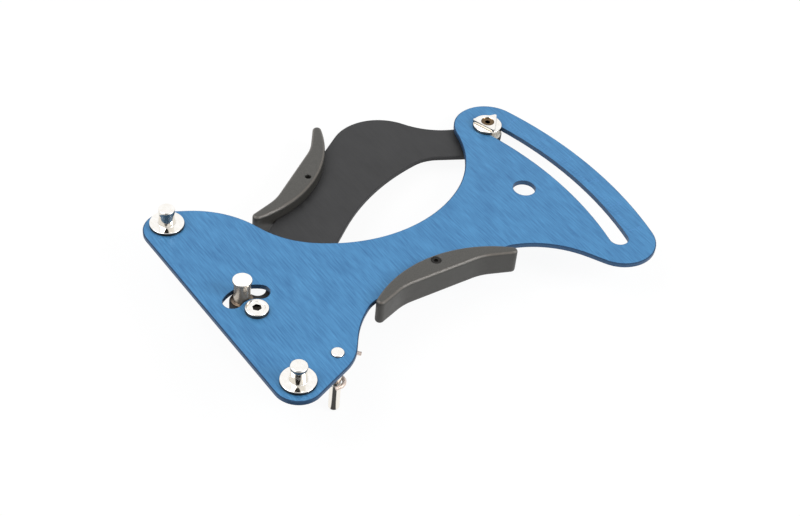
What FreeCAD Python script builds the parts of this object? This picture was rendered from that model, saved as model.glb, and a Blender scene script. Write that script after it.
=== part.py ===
import FreeCAD, Part
import math
import os

# A spoke tension meter. The frame's origin lies midway between the two fixed
# posts, on the face plate's top. +X runs along the tool to the pointer, +Y to
# the upper fixed post and +Z out of the plate. Millimetres and degrees.

os.makedirs("parts", exist_ok=True)

Vector = FreeCAD.Vector
UP = Vector(0, 0, 1)

# Clearances and cuts
fixed_clearance = 0.02
running_clearance = 0.05
slot_clearance = 0.1
groove_clearance = 0.1
cut_overrun = 2.0
same_point = 0.0001

# Plates
plate_thickness = 2.0
lever_thickness = 2.0
plate_gap = 0.8
edge_chamfer = 0.3

# Lever pivot, below the origin and to the right
pivot_x = 5.41
pivot_y = -9.45
pivot = (pivot_x, pivot_y)

# Fixed posts
post_span = 90.32
post_flange_radius = 6.35
post_flange_thickness = 1.3
post_height = 7.9
post_base_radius = 3.2
post_waist_radius = 2.8
post_rim_radius = 3.1
post_rim_chamfer = 0.35
post_tenon_radius = 2.6
post_rivet_radius = 3.9
post_rivet_height = 0.9

# Moving post
moving_post_angle = 91.8
moving_post_orbit_radius = 9.56
moving_post_radius = 3.0
moving_post_height = 7.2
moving_post_cap_radius = 3.5
moving_post_cap_height = 1.0
moving_post_collar_radius = 4.05
moving_post_collar_height = 0.6
moving_post_tenon_radius = 2.0
moving_post_rivet_radius = 3.1
moving_post_rivet_height = 0.7
moving_slot_half_width = 3.55
moving_slot_start_angle = 52.0
moving_slot_end_angle = 122.0

# Pointer slot, a band about the pivot
slot_orbit_radius = 140.8
slot_half_width = 3.7
slot_upper_angle = 18.4
slot_lower_angle = -14.1

# Face plate outline, as discs that a tight belt runs round
upper_corner_radius = 10.0
upper_corner_inset = 2.66
lower_corner_radius = 9.1
lower_corner_inset = 0.0
lower_shoulder_x = 11.3
lower_shoulder_y = -30.9
lower_shoulder_radius = 18.35
side_hollow_x = 62.2
side_hollow_y = -62.8
side_hollow_radius = 41.5
seat_hollow_radius = 12.0
seat_hollow_angle = 121.8
seat_end_radius = 12.0
seat_end_angle = 72.0
lower_waist_share = 0.625
lower_waist_top_y = -25.3
lower_waist_radius = 37.6
lobe_radius = 14.0
lower_lobe_angle = -14.2
upper_lobe_angle = 18.0
upper_waist_share = 0.4914
upper_waist_low_y = 0.25
upper_waist_radius = 58.05
upper_flank_angle = -59.0
left_flank_angle = -125.3
upper_shoulder_x = -5.5
upper_shoulder_y = 16.5
upper_shoulder_radius = 35.8

# Hanging hole
hanging_hole_inset = 17.45
hanging_hole_angle = 2.95
hanging_hole_radius = 4.4

# Lever outline, as discs that a tight belt runs round
hub_radius = 9.5
nose_radius = 4.5
heel_radius = 4.4
heel_hollow_x = 44.0
heel_hollow_y = -8.5
heel_hollow_radius = 10.0
lower_edge_share = 0.7805
lower_edge_top_y = 33.8
lower_edge_radius = 94.2
end_hollow_radius = 16.6
end_hollow_angle = 97.6
end_heel_inset_x = 6.7
end_heel_inset_y = 6.6
end_heel_radius = 6.0
pointer_end_radius = 6.2
crest_share = 0.6384
crest_top_y = 65.1
crest_radius = 20.4
crest_hollow_radius = 30.0
seat_corner_x = 35.5
seat_corner_y = 23.1
seat_corner_radius = 5.0
valley_x = 12.6
valley_y = 2.1
valley_radius = 3.0

# Pivot screw and what turns on it
screw_head_radius = 4.25
screw_head_height = 1.7
screw_head_chamfer = 0.3
screw_socket_across = 3.0
screw_socket_depth = 1.1
screw_dish_radius = 2.9
screw_dish_depth = 0.12
screw_shank_radius = 2.0
screw_shank_length = 12.0
barrel_neck_radius = 2.8
barrel_body_radius = 3.3
barrel_flange_radius = 4.0
barrel_flange_thickness = 0.7
bush_wall = 1.45
bush_length = 4.4
thrust_washer_width = 2.3
lower_washer_thickness = 0.6

# Spring post
spring_post_x = 18.5
spring_post_y = -40.8
spring_post_radius = 2.05
spring_post_length = 25.0
spring_post_end_radius = 1.0
spring_post_neck_radius = 1.5
spring_post_head_radius = 2.3
spring_post_head_height = 0.7
spring_post_head_edge = 0.3
spring_post_dimple_radius = 1.1
spring_post_dimple_depth = 0.3
hook_groove_depth = 0.2
hook_groove_side = 0.3

# Torsion spring
wire_radius = 0.75
coil_radius = 4.4
coil_end_gap = 0.15
coil_height = 5.8
coil_whole_turns = 2
quarter_turn = 90.0
hook_depth = 14.0
hook_clearance = 0.25
hook_end_angle = -95.0
fixed_leg_lead_length = 7.0
fixed_leg_jog_length = 15.0
moving_leg_reach_radius = 37.8
moving_leg_angle = -28.9
moving_leg_end_depth = 22.5

# Pin on the lever's heel that the spring pushes
anchor_leg_length = 28.0
anchor_radius = 2.0
anchor_neck_radius = 1.4
anchor_length = 17.2
anchor_end_radius = 0.7

# Pointer group, on the lever's far end
pointer_angle = 18.33
guide_flange_radius = 5.75
guide_flange_thickness = 1.25
guide_flange_chamfer = 0.25
guide_spigot_radius = 2.5
slide_washer_width = 2.2
pointer_corner_reach_radius = 6.4
pointer_corner_radius = 0.6
pointer_thickness = 1.3
pointer_screw_radius = 1.5
pointer_screw_head_radius = 2.35
pointer_screw_recess = 0.4
pointer_socket_across = 2.0
pointer_socket_depth = 0.9
pointer_nut_across = 5.5
pointer_nut_thickness = 2.4
pointer_screw_end = 0.6

# Grips, one moulding used twice: a crescent along a chord
grip_flat_half_length = 13.0
grip_outer_depth = 4.4
grip_outer_radius = 22.0
grip_inner_depth = 13.3
grip_inner_radius = 49.5
grip_end_radius = 1.75
grip_end_reach = 28.4
grip_height = 10.4
grip_edge_radius = 1.2
grip_drop_height = 0.55
grip_screw_depth = 10.4
grip_screw_head_radius = 1.9
grip_screw_head_height = 1.3
grip_screw_recess = 0.2
grip_screw_radius = 1.1
grip_screw_hole_radius = 1.25
grip_screw_length = 7.0
grip_screw_socket_across = 1.5
grip_screw_socket_depth = 0.7
lower_grip_x = 72.05
lower_grip_y = -32.9
lower_grip_angle = -2.2
upper_grip_x = 52.4
upper_grip_y = 49.9
upper_grip_angle = 34.7

# Levels
plate_bottom = -plate_thickness
lever_top = plate_bottom - plate_gap
lever_bottom = lever_top - lever_thickness
bush_bottom = lever_top - bush_length
lower_washer_bottom = bush_bottom - running_clearance - lower_washer_thickness
barrel_shoulder = lower_washer_bottom - running_clearance
coil_top = lower_washer_bottom - coil_end_gap - wire_radius
coil_bottom = coil_top - coil_height
barrel_flange_top = coil_bottom - wire_radius - coil_end_gap
barrel_bottom = barrel_flange_top - barrel_flange_thickness
hook_level = -hook_depth
spring_post_bottom = plate_bottom - spring_post_length
anchor_bottom = lever_bottom - anchor_length
guide_top = running_clearance + guide_flange_thickness
pointer_top = guide_top + pointer_thickness
nut_bottom = lever_bottom - pointer_nut_thickness


def polar(centre, radius, degrees):
    """The point at a radius and an angle about a centre."""
    angle = math.radians(degrees)
    return (centre[0] + radius * math.cos(angle), centre[1] + radius * math.sin(angle))


upper_post = (0, post_span / 2)
lower_post = (0, -post_span / 2)
moving_post = polar(pivot, moving_post_orbit_radius, moving_post_angle)
spring_post = (spring_post_x, spring_post_y)
pointer_place = polar(pivot, slot_orbit_radius, pointer_angle)
hanging_hole = polar(pivot, slot_orbit_radius - hanging_hole_inset, hanging_hole_angle)


def run_between(first, second):
    """The straight that leaves one disc and joins the next.

    A disc is (x, y, turn), where the turn is its radius, negative in a hollow.

    Returns:
        The straight's two ends and its heading in radians.
    """
    across = (second[0] - first[0], second[1] - first[1])
    share = (second[2] - first[2]) / math.hypot(across[0], across[1])
    heading = math.atan2(across[1], across[0]) - math.asin(max(-1, min(1, share)))
    side = (-math.sin(heading), math.cos(heading))
    start = (first[0] - first[2] * side[0], first[1] - first[2] * side[1])
    end = (second[0] - second[2] * side[0], second[1] - second[2] * side[1])
    if math.dist(start, end) < same_point:
        start = end
    return start, end, heading


def disc_inside(hollow, radius, degrees):
    """A smaller hollow disc that carries on from a larger one at an angle."""
    return (*polar(hollow, -hollow[2] - radius, degrees), -radius)


def disc_onwards(hollow, degrees, full):
    """The hollow disc that carries on from another at an angle and meets a full one."""
    across = (hollow[0] - full[0], hollow[1] - full[1])
    lean = polar((0, 0), 1, degrees)
    along = across[0] * lean[0] + across[1] * lean[1]
    far = across[0]**2 + across[1]**2 + hollow[2]**2 - full[2]**2 - 2 * hollow[2] * along
    return disc_inside(hollow, far / (2 * (along - hollow[2] + full[2])), degrees)


def disc_between(first, second, turn, side):
    """The disc of a given turn that touches two others, on one side of their line."""
    across = (second[0] - first[0], second[1] - first[1])
    distance = math.hypot(across[0], across[1])
    reach_first = abs(first[2] - turn)
    reach_second = abs(second[2] - turn)
    along = (reach_first**2 - reach_second**2 + distance**2) / (2 * distance)
    off = side * math.sqrt(reach_first**2 - along**2)
    unit = (across[0] / distance, across[1] / distance)
    return (
        first[0] + along * unit[0] - off * unit[1],
        first[1] + along * unit[1] + off * unit[0],
        turn,
    )


def grown(discs, clearance):
    """The same belt of discs, moved outwards by a clearance."""
    return [(x, y, turn + clearance) for x, y, turn in discs]


def arc_on(disc, start, end):
    """The edge along a disc from one point to another, the way that it turns."""
    first = math.atan2(start[1] - disc[1], start[0] - disc[0])
    last = math.atan2(end[1] - disc[1], end[0] - disc[0])
    if disc[2] > 0:
        sweep = (last - first) % (2 * math.pi)
    else:
        sweep = -((first - last) % (2 * math.pi))
    middle = first + sweep / 2
    radius = abs(disc[2])
    between = (disc[0] + radius * math.cos(middle), disc[1] + radius * math.sin(middle))
    return Part.Arc(Vector(*start, 0), Vector(*between, 0), Vector(*end, 0)).toShape()


def belt_face(discs):
    """The face inside a tight belt round a ring of discs, taken anticlockwise."""
    count = len(discs)
    runs = [run_between(discs[i], discs[(i + 1) % count]) for i in range(count)]
    edges = []
    for i in range(count):
        arrive = runs[i - 1][1]
        leave, join = runs[i][0], runs[i][1]
        if math.dist(arrive, leave) > same_point:
            edges.append(arc_on(discs[i], arrive, leave))
        if math.dist(leave, join) > same_point:
            edges.append(Part.LineSegment(Vector(*leave, 0), Vector(*join, 0)).toShape())
    return Part.Face(Part.Wire(Part.__sortEdges__(edges)))


def slab(face, bottom, top):
    """A flat face at height zero, made into a solid between two heights."""
    solid = face.extrude(UP * (top - bottom))
    solid.translate(UP * bottom)
    return solid


def rim_edges(solid, levels):
    """The edges of a solid that lie flat at any of the given heights."""
    found = []
    for edge in solid.Edges:
        box = edge.BoundBox
        if any(max(abs(box.ZMin - z), abs(box.ZMax - z)) < same_point for z in levels):
            found.append(edge)
    return found


def round_bar(place, radius, bottom, top):
    """An upright cylinder at a place, between two heights."""
    return Part.makeCylinder(radius, top - bottom, Vector(*place, bottom), UP)


def turned(place, outline):
    """A solid of revolution about an upright axis.

    The outline lists (radius, height) corners, and (radius, height, radius,
    height) where an arc runs through the first point to the second.
    """
    edges = []
    last = Vector(outline[0][0], 0, outline[0][1])
    for step in outline[1:] + outline[:1]:
        here = Vector(step[-2], 0, step[-1])
        if len(step) == 4:
            edges.append(Part.Arc(last, Vector(step[0], 0, step[1]), here).toShape())
        elif (here - last).Length > same_point:
            edges.append(Part.LineSegment(last, here).toShape())
        last = here
    solid = Part.Face(Part.Wire(edges)).revolve(Vector(0, 0, 0), UP, 360)
    solid.translate(Vector(*place, 0))
    return solid


def ring(place, inner, outer, bottom, top):
    """A flat washer or a plain bush."""
    return round_bar(place, outer, bottom, top).cut(
        round_bar(place, inner, bottom - cut_overrun, top + cut_overrun)
    )


def hexagon(place, across, bottom, top):
    """An upright hexagonal prism, measured across its flats."""
    reach = across / 2 / math.cos(math.pi / 6)
    corners = [Vector(*polar(place, reach, 60 * i), bottom) for i in range(7)]
    return Part.Face(Part.makePolygon(corners)).extrude(UP * (top - bottom))


def band(half_width, orbit, start_angle, end_angle, bottom, top):
    """A slot with round ends that follows a circle about the pivot."""
    corners = {}
    for name, angle in (("start", start_angle), ("end", end_angle)):
        corners[name] = polar(pivot, orbit, angle)
        corners[name + " in"] = polar(pivot, orbit - half_width, angle)
        corners[name + " out"] = polar(pivot, orbit + half_width, angle)
    outer = (pivot_x, pivot_y, orbit + half_width)
    inner = (pivot_x, pivot_y, half_width - orbit)
    end_cap = (*corners["end"], half_width)
    start_cap = (*corners["start"], half_width)
    edges = [
        arc_on(outer, corners["start out"], corners["end out"]),
        arc_on(end_cap, corners["end out"], corners["end in"]),
        arc_on(inner, corners["end in"], corners["start in"]),
        arc_on(start_cap, corners["start in"], corners["start out"]),
    ]
    return slab(Part.Face(Part.Wire(edges)), bottom, top)


def chamfered_blank(discs, bottom, top):
    """A plate blank inside a belt of discs, with its sharp edges broken."""
    blank = slab(belt_face(discs), bottom, top)
    return blank.makeChamfer(edge_chamfer, rim_edges(blank, (bottom, top)))


def face_plate_discs():
    """The face plate's outline, anticlockwise from its lower left corner."""
    lower_waist = (
        pivot_x + lower_waist_share * slot_orbit_radius,
        lower_waist_top_y - lower_waist_radius,
        -lower_waist_radius,
    )
    upper_waist = (
        pivot_x + upper_waist_share * slot_orbit_radius,
        upper_waist_low_y + upper_waist_radius,
        -upper_waist_radius,
    )
    side_hollow = (side_hollow_x, side_hollow_y, -side_hollow_radius)
    lower_lobe = (*polar(pivot, slot_orbit_radius, lower_lobe_angle), lobe_radius)
    upper_lobe = (*polar(pivot, slot_orbit_radius, upper_lobe_angle), lobe_radius)
    upper_shoulder = (upper_shoulder_x, upper_shoulder_y, upper_shoulder_radius)
    return [
        (0, lower_post[1] + lower_corner_inset, lower_corner_radius),
        (lower_shoulder_x, lower_shoulder_y, lower_shoulder_radius),
        side_hollow,
        disc_inside(side_hollow, seat_hollow_radius, seat_hollow_angle),
        disc_inside(lower_waist, seat_end_radius, seat_end_angle),
        lower_waist,
        lower_lobe,
        (pivot_x, pivot_y, slot_orbit_radius + lobe_radius),
        upper_lobe,
        disc_onwards(upper_waist, upper_flank_angle, upper_lobe),
        upper_waist,
        disc_onwards(upper_waist, left_flank_angle, upper_shoulder),
        upper_shoulder,
        (0, upper_post[1] - upper_corner_inset, upper_corner_radius),
    ]


def spring_runs():
    """Where the spring's two legs leave its hook, its coil and its far end.

    Returns:
        The fixed leg's straight, then the moving leg's straight.
    """
    hook_turn = spring_post_radius + hook_clearance + wire_radius
    coil = (pivot_x, pivot_y, -coil_radius)
    tip = (*polar(pivot, moving_leg_reach_radius, moving_leg_angle), 0)
    return run_between((*spring_post, hook_turn), coil), run_between(coil, tip)


def anchor_place():
    """Where the heel's pin stands, against the upper side of the moving leg."""
    start, _, heading = spring_runs()[1]
    off = wire_radius + anchor_radius + running_clearance
    return (
        start[0] + anchor_leg_length * math.cos(heading) - off * math.sin(heading),
        start[1] + anchor_leg_length * math.sin(heading) + off * math.cos(heading),
    )


def lever_discs():
    """The lever's outline at rest, anticlockwise from its hub."""
    pointer_end = (*pointer_place, pointer_end_radius)
    crest = (
        pivot_x + crest_share * slot_orbit_radius,
        crest_top_y - crest_radius,
        crest_radius,
    )
    lower_edge = (
        pivot_x + lower_edge_share * slot_orbit_radius,
        lower_edge_top_y - lower_edge_radius,
        -lower_edge_radius,
    )
    end_heel_x = pointer_place[0] - end_heel_inset_x
    end_heel_y = pointer_place[1] - end_heel_inset_y
    return [
        (pivot_x, pivot_y, hub_radius),
        (*anchor_place(), heel_radius),
        (heel_hollow_x, heel_hollow_y, -heel_hollow_radius),
        lower_edge,
        disc_inside(lower_edge, end_hollow_radius, end_hollow_angle),
        (end_heel_x, end_heel_y, end_heel_radius),
        pointer_end,
        disc_between(pointer_end, crest, -crest_hollow_radius, -1),
        crest,
        (seat_corner_x, seat_corner_y, seat_corner_radius),
        (valley_x, valley_y, -valley_radius),
        (*moving_post, nose_radius),
    ]


def make_face_plate():
    """The plate, its two slots, the hanging hole and the fastener holes."""
    plate = chamfered_blank(face_plate_discs(), plate_bottom, 0)
    low, high = plate_bottom - cut_overrun, cut_overrun
    cuts = [
        band(slot_half_width, slot_orbit_radius, slot_lower_angle, slot_upper_angle, low, high),
        band(
            moving_slot_half_width,
            moving_post_orbit_radius,
            moving_slot_start_angle,
            moving_slot_end_angle,
            low,
            high,
        ),
        round_bar(hanging_hole, hanging_hole_radius, low, high),
        round_bar(pivot, screw_shank_radius + fixed_clearance, low, high),
        round_bar(spring_post, spring_post_neck_radius + fixed_clearance, low, high),
        round_bar(grip_screw_place(lower_grip_place()), grip_screw_hole_radius, low, high),
    ]
    for place in (upper_post, lower_post):
        cuts.append(round_bar(place, post_tenon_radius + fixed_clearance, low, high))
    for cut in cuts:
        plate = plate.cut(cut)
    return plate


def make_fixed_post(place):
    """A flanged spool post, riveted through the plate."""
    waist_height = (post_flange_thickness + post_height - post_rim_chamfer) / 2
    return turned(
        place,
        [
            (0, plate_bottom - post_rivet_height),
            (post_rivet_radius - post_rivet_height / 2, plate_bottom - post_rivet_height),
            (post_rivet_radius, plate_bottom),
            (post_tenon_radius, plate_bottom),
            (post_tenon_radius, 0),
            (post_flange_radius, 0),
            (post_flange_radius, post_flange_thickness - post_rim_chamfer),
            (post_flange_radius - post_rim_chamfer, post_flange_thickness),
            (post_base_radius, post_flange_thickness),
            (
                post_waist_radius,
                waist_height,
                post_rim_radius,
                post_height - post_rim_chamfer,
            ),
            (post_rim_radius - post_rim_chamfer, post_height),
            (0, post_height),
        ],
    )


def make_spring_post():
    """The long post that holds the spring's hook, riveted through the plate."""
    groove_half = wire_radius + hook_groove_side
    groove_radius = spring_post_radius - hook_groove_depth
    end_corner = spring_post_end_radius * (1 - math.sqrt(0.5))
    return turned(
        spring_post,
        [
            (0, spring_post_bottom),
            (spring_post_radius - spring_post_end_radius, spring_post_bottom),
            (
                spring_post_radius - end_corner,
                spring_post_bottom + end_corner,
                spring_post_radius,
                spring_post_bottom + spring_post_end_radius,
            ),
            (spring_post_radius, hook_level - groove_half),
            (groove_radius, hook_level - groove_half + hook_groove_depth),
            (groove_radius, hook_level + groove_half - hook_groove_depth),
            (spring_post_radius, hook_level + groove_half),
            (spring_post_radius, plate_bottom),
            (spring_post_neck_radius, plate_bottom),
            (spring_post_neck_radius, 0),
            (spring_post_head_radius, 0),
            (spring_post_head_radius, spring_post_head_height - spring_post_head_edge),
            (spring_post_head_radius - spring_post_head_edge, spring_post_head_height),
            (spring_post_dimple_radius, spring_post_head_height),
            (0, spring_post_head_height - spring_post_dimple_depth),
        ],
    )


def make_pivot_screw():
    """The low-headed screw that clamps the barrel to the plate."""
    top = screw_head_height
    screw = turned(
        pivot,
        [
            (0, -screw_shank_length),
            (screw_shank_radius, -screw_shank_length),
            (screw_shank_radius, 0),
            (screw_head_radius, 0),
            (screw_head_radius, top - screw_head_chamfer),
            (screw_head_radius - screw_head_chamfer, top),
            (screw_dish_radius, top),
            (screw_dish_radius - screw_dish_depth, top - screw_dish_depth),
            (0, top - screw_dish_depth),
        ],
    )
    return screw.cut(
        hexagon(pivot, screw_socket_across, top - screw_socket_depth, top + cut_overrun)
    )


def make_pivot_barrel():
    """The stepped sleeve that the lever turns on, with a flange below the coil."""
    barrel = turned(
        pivot,
        [
            (0, barrel_bottom),
            (barrel_flange_radius, barrel_bottom),
            (barrel_flange_radius, barrel_flange_top),
            (barrel_body_radius, barrel_flange_top),
            (barrel_body_radius, barrel_shoulder),
            (barrel_neck_radius, barrel_shoulder),
            (barrel_neck_radius, plate_bottom),
            (0, plate_bottom),
        ],
    )
    bore_end = -screw_shank_length - running_clearance
    return barrel.cut(
        round_bar(pivot, screw_shank_radius + fixed_clearance, bore_end, cut_overrun)
    )


def biarc(start, start_way, end, end_way):
    """Two arcs that join two points along given directions."""
    across = end - start
    both = start_way + end_way
    spread = 2 * (1 - start_way.dot(end_way))
    reach = across.dot(both)
    if spread > same_point:
        arm = (math.sqrt(reach**2 + spread * across.dot(across)) - reach) / spread
    else:
        arm = across.dot(across) / (2 * reach)
    first_corner = start + start_way * arm
    second_corner = end - end_way * arm
    meeting = (first_corner + second_corner) / 2
    return [
        arc_by_corner(start, first_corner, meeting),
        arc_by_corner(meeting, second_corner, end),
    ]


def arc_by_corner(start, corner, end):
    """The arc between two points whose end tangents meet at a corner."""
    chord_middle = (start + end) / 2
    half_chord = (end - start).Length / 2
    lift = (corner - chord_middle).Length
    turn = math.atan2(lift, half_chord)
    rise = half_chord * math.tan(turn / 2)
    between = chord_middle + (corner - chord_middle) * (rise / lift)
    return Part.Arc(start, between, end).toShape()


def spring_path():
    """The edges of the spring wire's middle line, from the hook's open end."""
    fixed_run, moving_run = spring_runs()
    hook_turn = spring_post_radius + hook_clearance + wire_radius
    hook_start = Vector(*polar(spring_post, hook_turn, hook_end_angle), hook_level)
    start_way = Vector(*polar((0, 0), 1, hook_end_angle + quarter_turn), 0)
    open_end = hook_start - start_way * (2 * wire_radius)
    hook_leave = Vector(*fixed_run[0], hook_level)
    leg_way = Vector(math.cos(fixed_run[2]), math.sin(fixed_run[2]), 0)
    hook = (*spring_post, hook_turn)
    hook_arc = arc_on(hook, (hook_start.x, hook_start.y), fixed_run[0])
    hook_arc.translate(UP * hook_level)
    coil_start = Vector(*fixed_run[1], coil_top)
    jog_end = coil_start - leg_way * fixed_leg_lead_length
    jog_start = jog_end - leg_way * fixed_leg_jog_length + UP * (hook_level - coil_top)
    edges = [
        Part.LineSegment(open_end, hook_start).toShape(),
        hook_arc,
        Part.LineSegment(hook_leave, jog_start).toShape(),
    ]
    edges += biarc(jog_start, leg_way, jog_end, leg_way)
    edges.append(Part.LineSegment(jog_end, coil_start).toShape())
    tip = Vector(*moving_run[1], -moving_leg_end_depth)
    coil_end = Vector(*moving_run[0], coil_bottom)
    end_way = (tip - coil_end).normalize()
    edges += coil_edges(coil_start, leg_way, coil_end, end_way)
    edges.append(Part.LineSegment(coil_end, tip).toShape())
    return edges


def coil_edges(start, start_way, end, end_way):
    """The coil, clockwise as it goes down, a pair of arcs for each quarter turn."""
    first = math.degrees(math.atan2(start.y - pivot_y, start.x - pivot_x))
    last = math.degrees(math.atan2(end.y - pivot_y, end.x - pivot_x))
    sweep = (first - last) % 360 + 360 * coil_whole_turns
    steps = math.ceil(sweep / quarter_turn)
    slope = (coil_bottom - coil_top) / (math.radians(sweep) * coil_radius)
    points = [start]
    ways = [start_way]
    for i in range(1, steps):
        angle = first - sweep * i / steps
        height = coil_top + (coil_bottom - coil_top) * i / steps
        points.append(Vector(*polar(pivot, coil_radius, angle), height))
        ways.append(Vector(*polar((0, 0), 1, angle - quarter_turn), slope).normalize())
    points.append(end)
    ways.append(end_way)
    edges = []
    for i in range(steps):
        edges += biarc(points[i], ways[i], points[i + 1], ways[i + 1])
    return edges


def least_gap(edges):
    """The least free space between two stretches of the spring's wire."""
    points = []
    along = 0
    for edge in edges:
        count = max(2, math.ceil(edge.Length / wire_radius * 2))
        for i, point in enumerate(edge.discretize(Number=count)):
            if i:
                along += (point - points[-1][1]).Length
            points.append((along, point))
    apart = math.pi * coil_radius
    gaps = []
    for i, (place, point) in enumerate(points):
        for other_place, other in points[i + 1:]:
            if other_place - place > apart:
                gaps.append((other - point).Length)
    return min(gaps) - 2 * wire_radius


def make_torsion_spring():
    """One unbroken wire: hook, fixed leg, coil and moving leg."""
    edges = spring_path()
    start = edges[0].Vertexes[0].Point
    way = edges[0].Vertexes[-1].Point - start
    section = Part.Wire(Part.makeCircle(wire_radius, start, way))
    shell = Part.BRepOffsetAPI.MakePipeShell(Part.Wire(edges))
    shell.add(section)
    shell.build()
    shell.makeSolid()
    print("least gap in the spring", round(least_gap(edges), 3))
    return shell.shape()


def make_anchor_pin(place):
    """The heel's pin, riveted flush into the lever."""
    end_corner = anchor_end_radius * (1 - math.sqrt(0.5))
    return turned(
        place,
        [
            (0, anchor_bottom),
            (anchor_radius - anchor_end_radius, anchor_bottom),
            (
                anchor_radius - end_corner,
                anchor_bottom + end_corner,
                anchor_radius,
                anchor_bottom + anchor_end_radius,
            ),
            (anchor_radius, lever_bottom),
            (anchor_neck_radius, lever_bottom),
            (anchor_neck_radius, lever_top),
            (0, lever_top),
        ],
    )


def make_moving_post():
    """The capped post on the lever's nose, riveted under it."""
    body_top = moving_post_height - moving_post_cap_height
    collar_top = lever_top + moving_post_collar_height
    return turned(
        moving_post,
        [
            (0, lever_bottom - moving_post_rivet_height),
            (
                moving_post_rivet_radius - moving_post_rivet_height / 2,
                lever_bottom - moving_post_rivet_height,
            ),
            (moving_post_rivet_radius, lever_bottom),
            (moving_post_tenon_radius, lever_bottom),
            (moving_post_tenon_radius, lever_top),
            (moving_post_collar_radius, lever_top),
            (moving_post_collar_radius, collar_top),
            (moving_post_radius, collar_top),
            (moving_post_radius, body_top),
            (moving_post_cap_radius, body_top),
            (moving_post_cap_radius, moving_post_height - post_rim_chamfer),
            (moving_post_cap_radius - post_rim_chamfer, moving_post_height),
            (0, moving_post_height),
        ],
    )


def make_lever_plate():
    """The lever, with holes for its bush, posts and screws."""
    lever = chamfered_blank(lever_discs(), lever_bottom, lever_top)
    low, high = lever_bottom - cut_overrun, lever_top + cut_overrun
    bush_outer = barrel_neck_radius + running_clearance + bush_wall
    holes = [
        (pivot, bush_outer + fixed_clearance),
        (moving_post, moving_post_tenon_radius + fixed_clearance),
        (anchor_place(), anchor_neck_radius + fixed_clearance),
        (pointer_place, guide_spigot_radius + fixed_clearance),
        (grip_screw_place(upper_grip_place()), grip_screw_hole_radius),
    ]
    for place, radius in holes:
        lever = lever.cut(round_bar(place, radius, low, high))
    return lever


def make_guide_bush():
    """The flanged bush that runs in the pointer slot."""
    body_radius = slot_half_width - slot_clearance
    bush = turned(
        pointer_place,
        [
            (0, lever_bottom),
            (guide_spigot_radius, lever_bottom),
            (guide_spigot_radius, lever_top),
            (body_radius, lever_top),
            (body_radius, running_clearance),
            (guide_flange_radius, running_clearance),
            (guide_flange_radius, guide_top - guide_flange_chamfer),
            (guide_flange_radius - guide_flange_chamfer, guide_top),
            (0, guide_top),
        ],
    )
    return bush.cut(
        round_bar(
            pointer_place,
            pointer_screw_radius + fixed_clearance,
            lever_bottom - cut_overrun,
            guide_top + cut_overrun,
        )
    )


def screw_cone(extra):
    """The countersunk screw's head, or with a clearance the lower part of its sink."""
    slope = pointer_screw_head_radius - pointer_screw_radius
    head_top = pointer_top - pointer_screw_recess
    return [
        (0, head_top - slope - extra),
        (pointer_screw_radius, head_top - slope - extra),
        (pointer_screw_head_radius + extra, head_top),
        (0, head_top),
    ]


def make_pointer():
    """The triangular pointer, with one corner pointing out at the scale."""
    inset = pointer_corner_reach_radius - 2 * pointer_corner_radius
    corners = [
        (*polar(pointer_place, inset, pointer_angle + 120 * i), pointer_corner_radius)
        for i in range(3)
    ]
    pointer = slab(belt_face(corners), guide_top, pointer_top)
    pointer = pointer.cut(
        round_bar(
            pointer_place,
            pointer_screw_radius + fixed_clearance,
            guide_top - cut_overrun,
            pointer_top + cut_overrun,
        )
    )
    sink = screw_cone(fixed_clearance)
    sink_radius = sink[2][0]
    rim = (sink_radius + pointer_screw_recess, pointer_top)
    return pointer.cut(turned(pointer_place, sink[:3] + [rim, (0, pointer_top)]))


def make_pointer_screw():
    """The countersunk screw through the pointer, the bush and the lever."""
    end = nut_bottom - pointer_screw_end
    head_top = pointer_top - pointer_screw_recess
    screw = turned(
        pointer_place,
        [(0, end), (pointer_screw_radius, end)] + screw_cone(0)[1:],
    )
    return screw.cut(
        hexagon(
            pointer_place,
            pointer_socket_across,
            head_top - pointer_socket_depth,
            head_top + cut_overrun,
        )
    )


def make_pointer_nut():
    """The hexagonal nut under the lever."""
    nut = hexagon(pointer_place, pointer_nut_across, nut_bottom, lever_bottom)
    return nut.cut(
        round_bar(
            pointer_place,
            pointer_screw_radius + fixed_clearance,
            nut_bottom - cut_overrun,
            lever_bottom + cut_overrun,
        )
    )


def lower_grip_place():
    """The lower grip's frame: its chord along the plate, its belly towards +Y."""
    middle = plate_bottom / 2 - grip_drop_height
    return FreeCAD.Placement(
        Vector(lower_grip_x, lower_grip_y, middle), FreeCAD.Rotation(UP, lower_grip_angle)
    )


def upper_grip_place():
    """The upper grip's frame: the same moulding turned over about its chord."""
    middle = (lever_top + lever_bottom) / 2 + grip_drop_height
    over = FreeCAD.Rotation(Vector(1, 0, 0), 180)
    along = FreeCAD.Rotation(UP, upper_grip_angle)
    return FreeCAD.Placement(Vector(upper_grip_x, upper_grip_y, middle), along * over)


def grip_screw_place(place):
    """Where a grip's screw goes, seen from above."""
    point = place.multVec(Vector(0, grip_screw_depth, 0))
    return (point.x, point.y)


def grip_discs():
    """The crescent: two hollows with a flat between, a full inner side, two small ends."""
    inner = (0, grip_inner_depth - grip_inner_radius, grip_inner_radius)
    fall = math.sqrt((grip_inner_radius - grip_end_radius) ** 2 - grip_end_reach**2)
    hollow_y = grip_outer_depth - grip_outer_radius
    return [
        (-grip_flat_half_length, hollow_y, -grip_outer_radius),
        (grip_flat_half_length, hollow_y, -grip_outer_radius),
        (grip_end_reach, inner[1] + fall, grip_end_radius),
        inner,
        (-grip_end_reach, inner[1] + fall, grip_end_radius),
    ]


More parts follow.
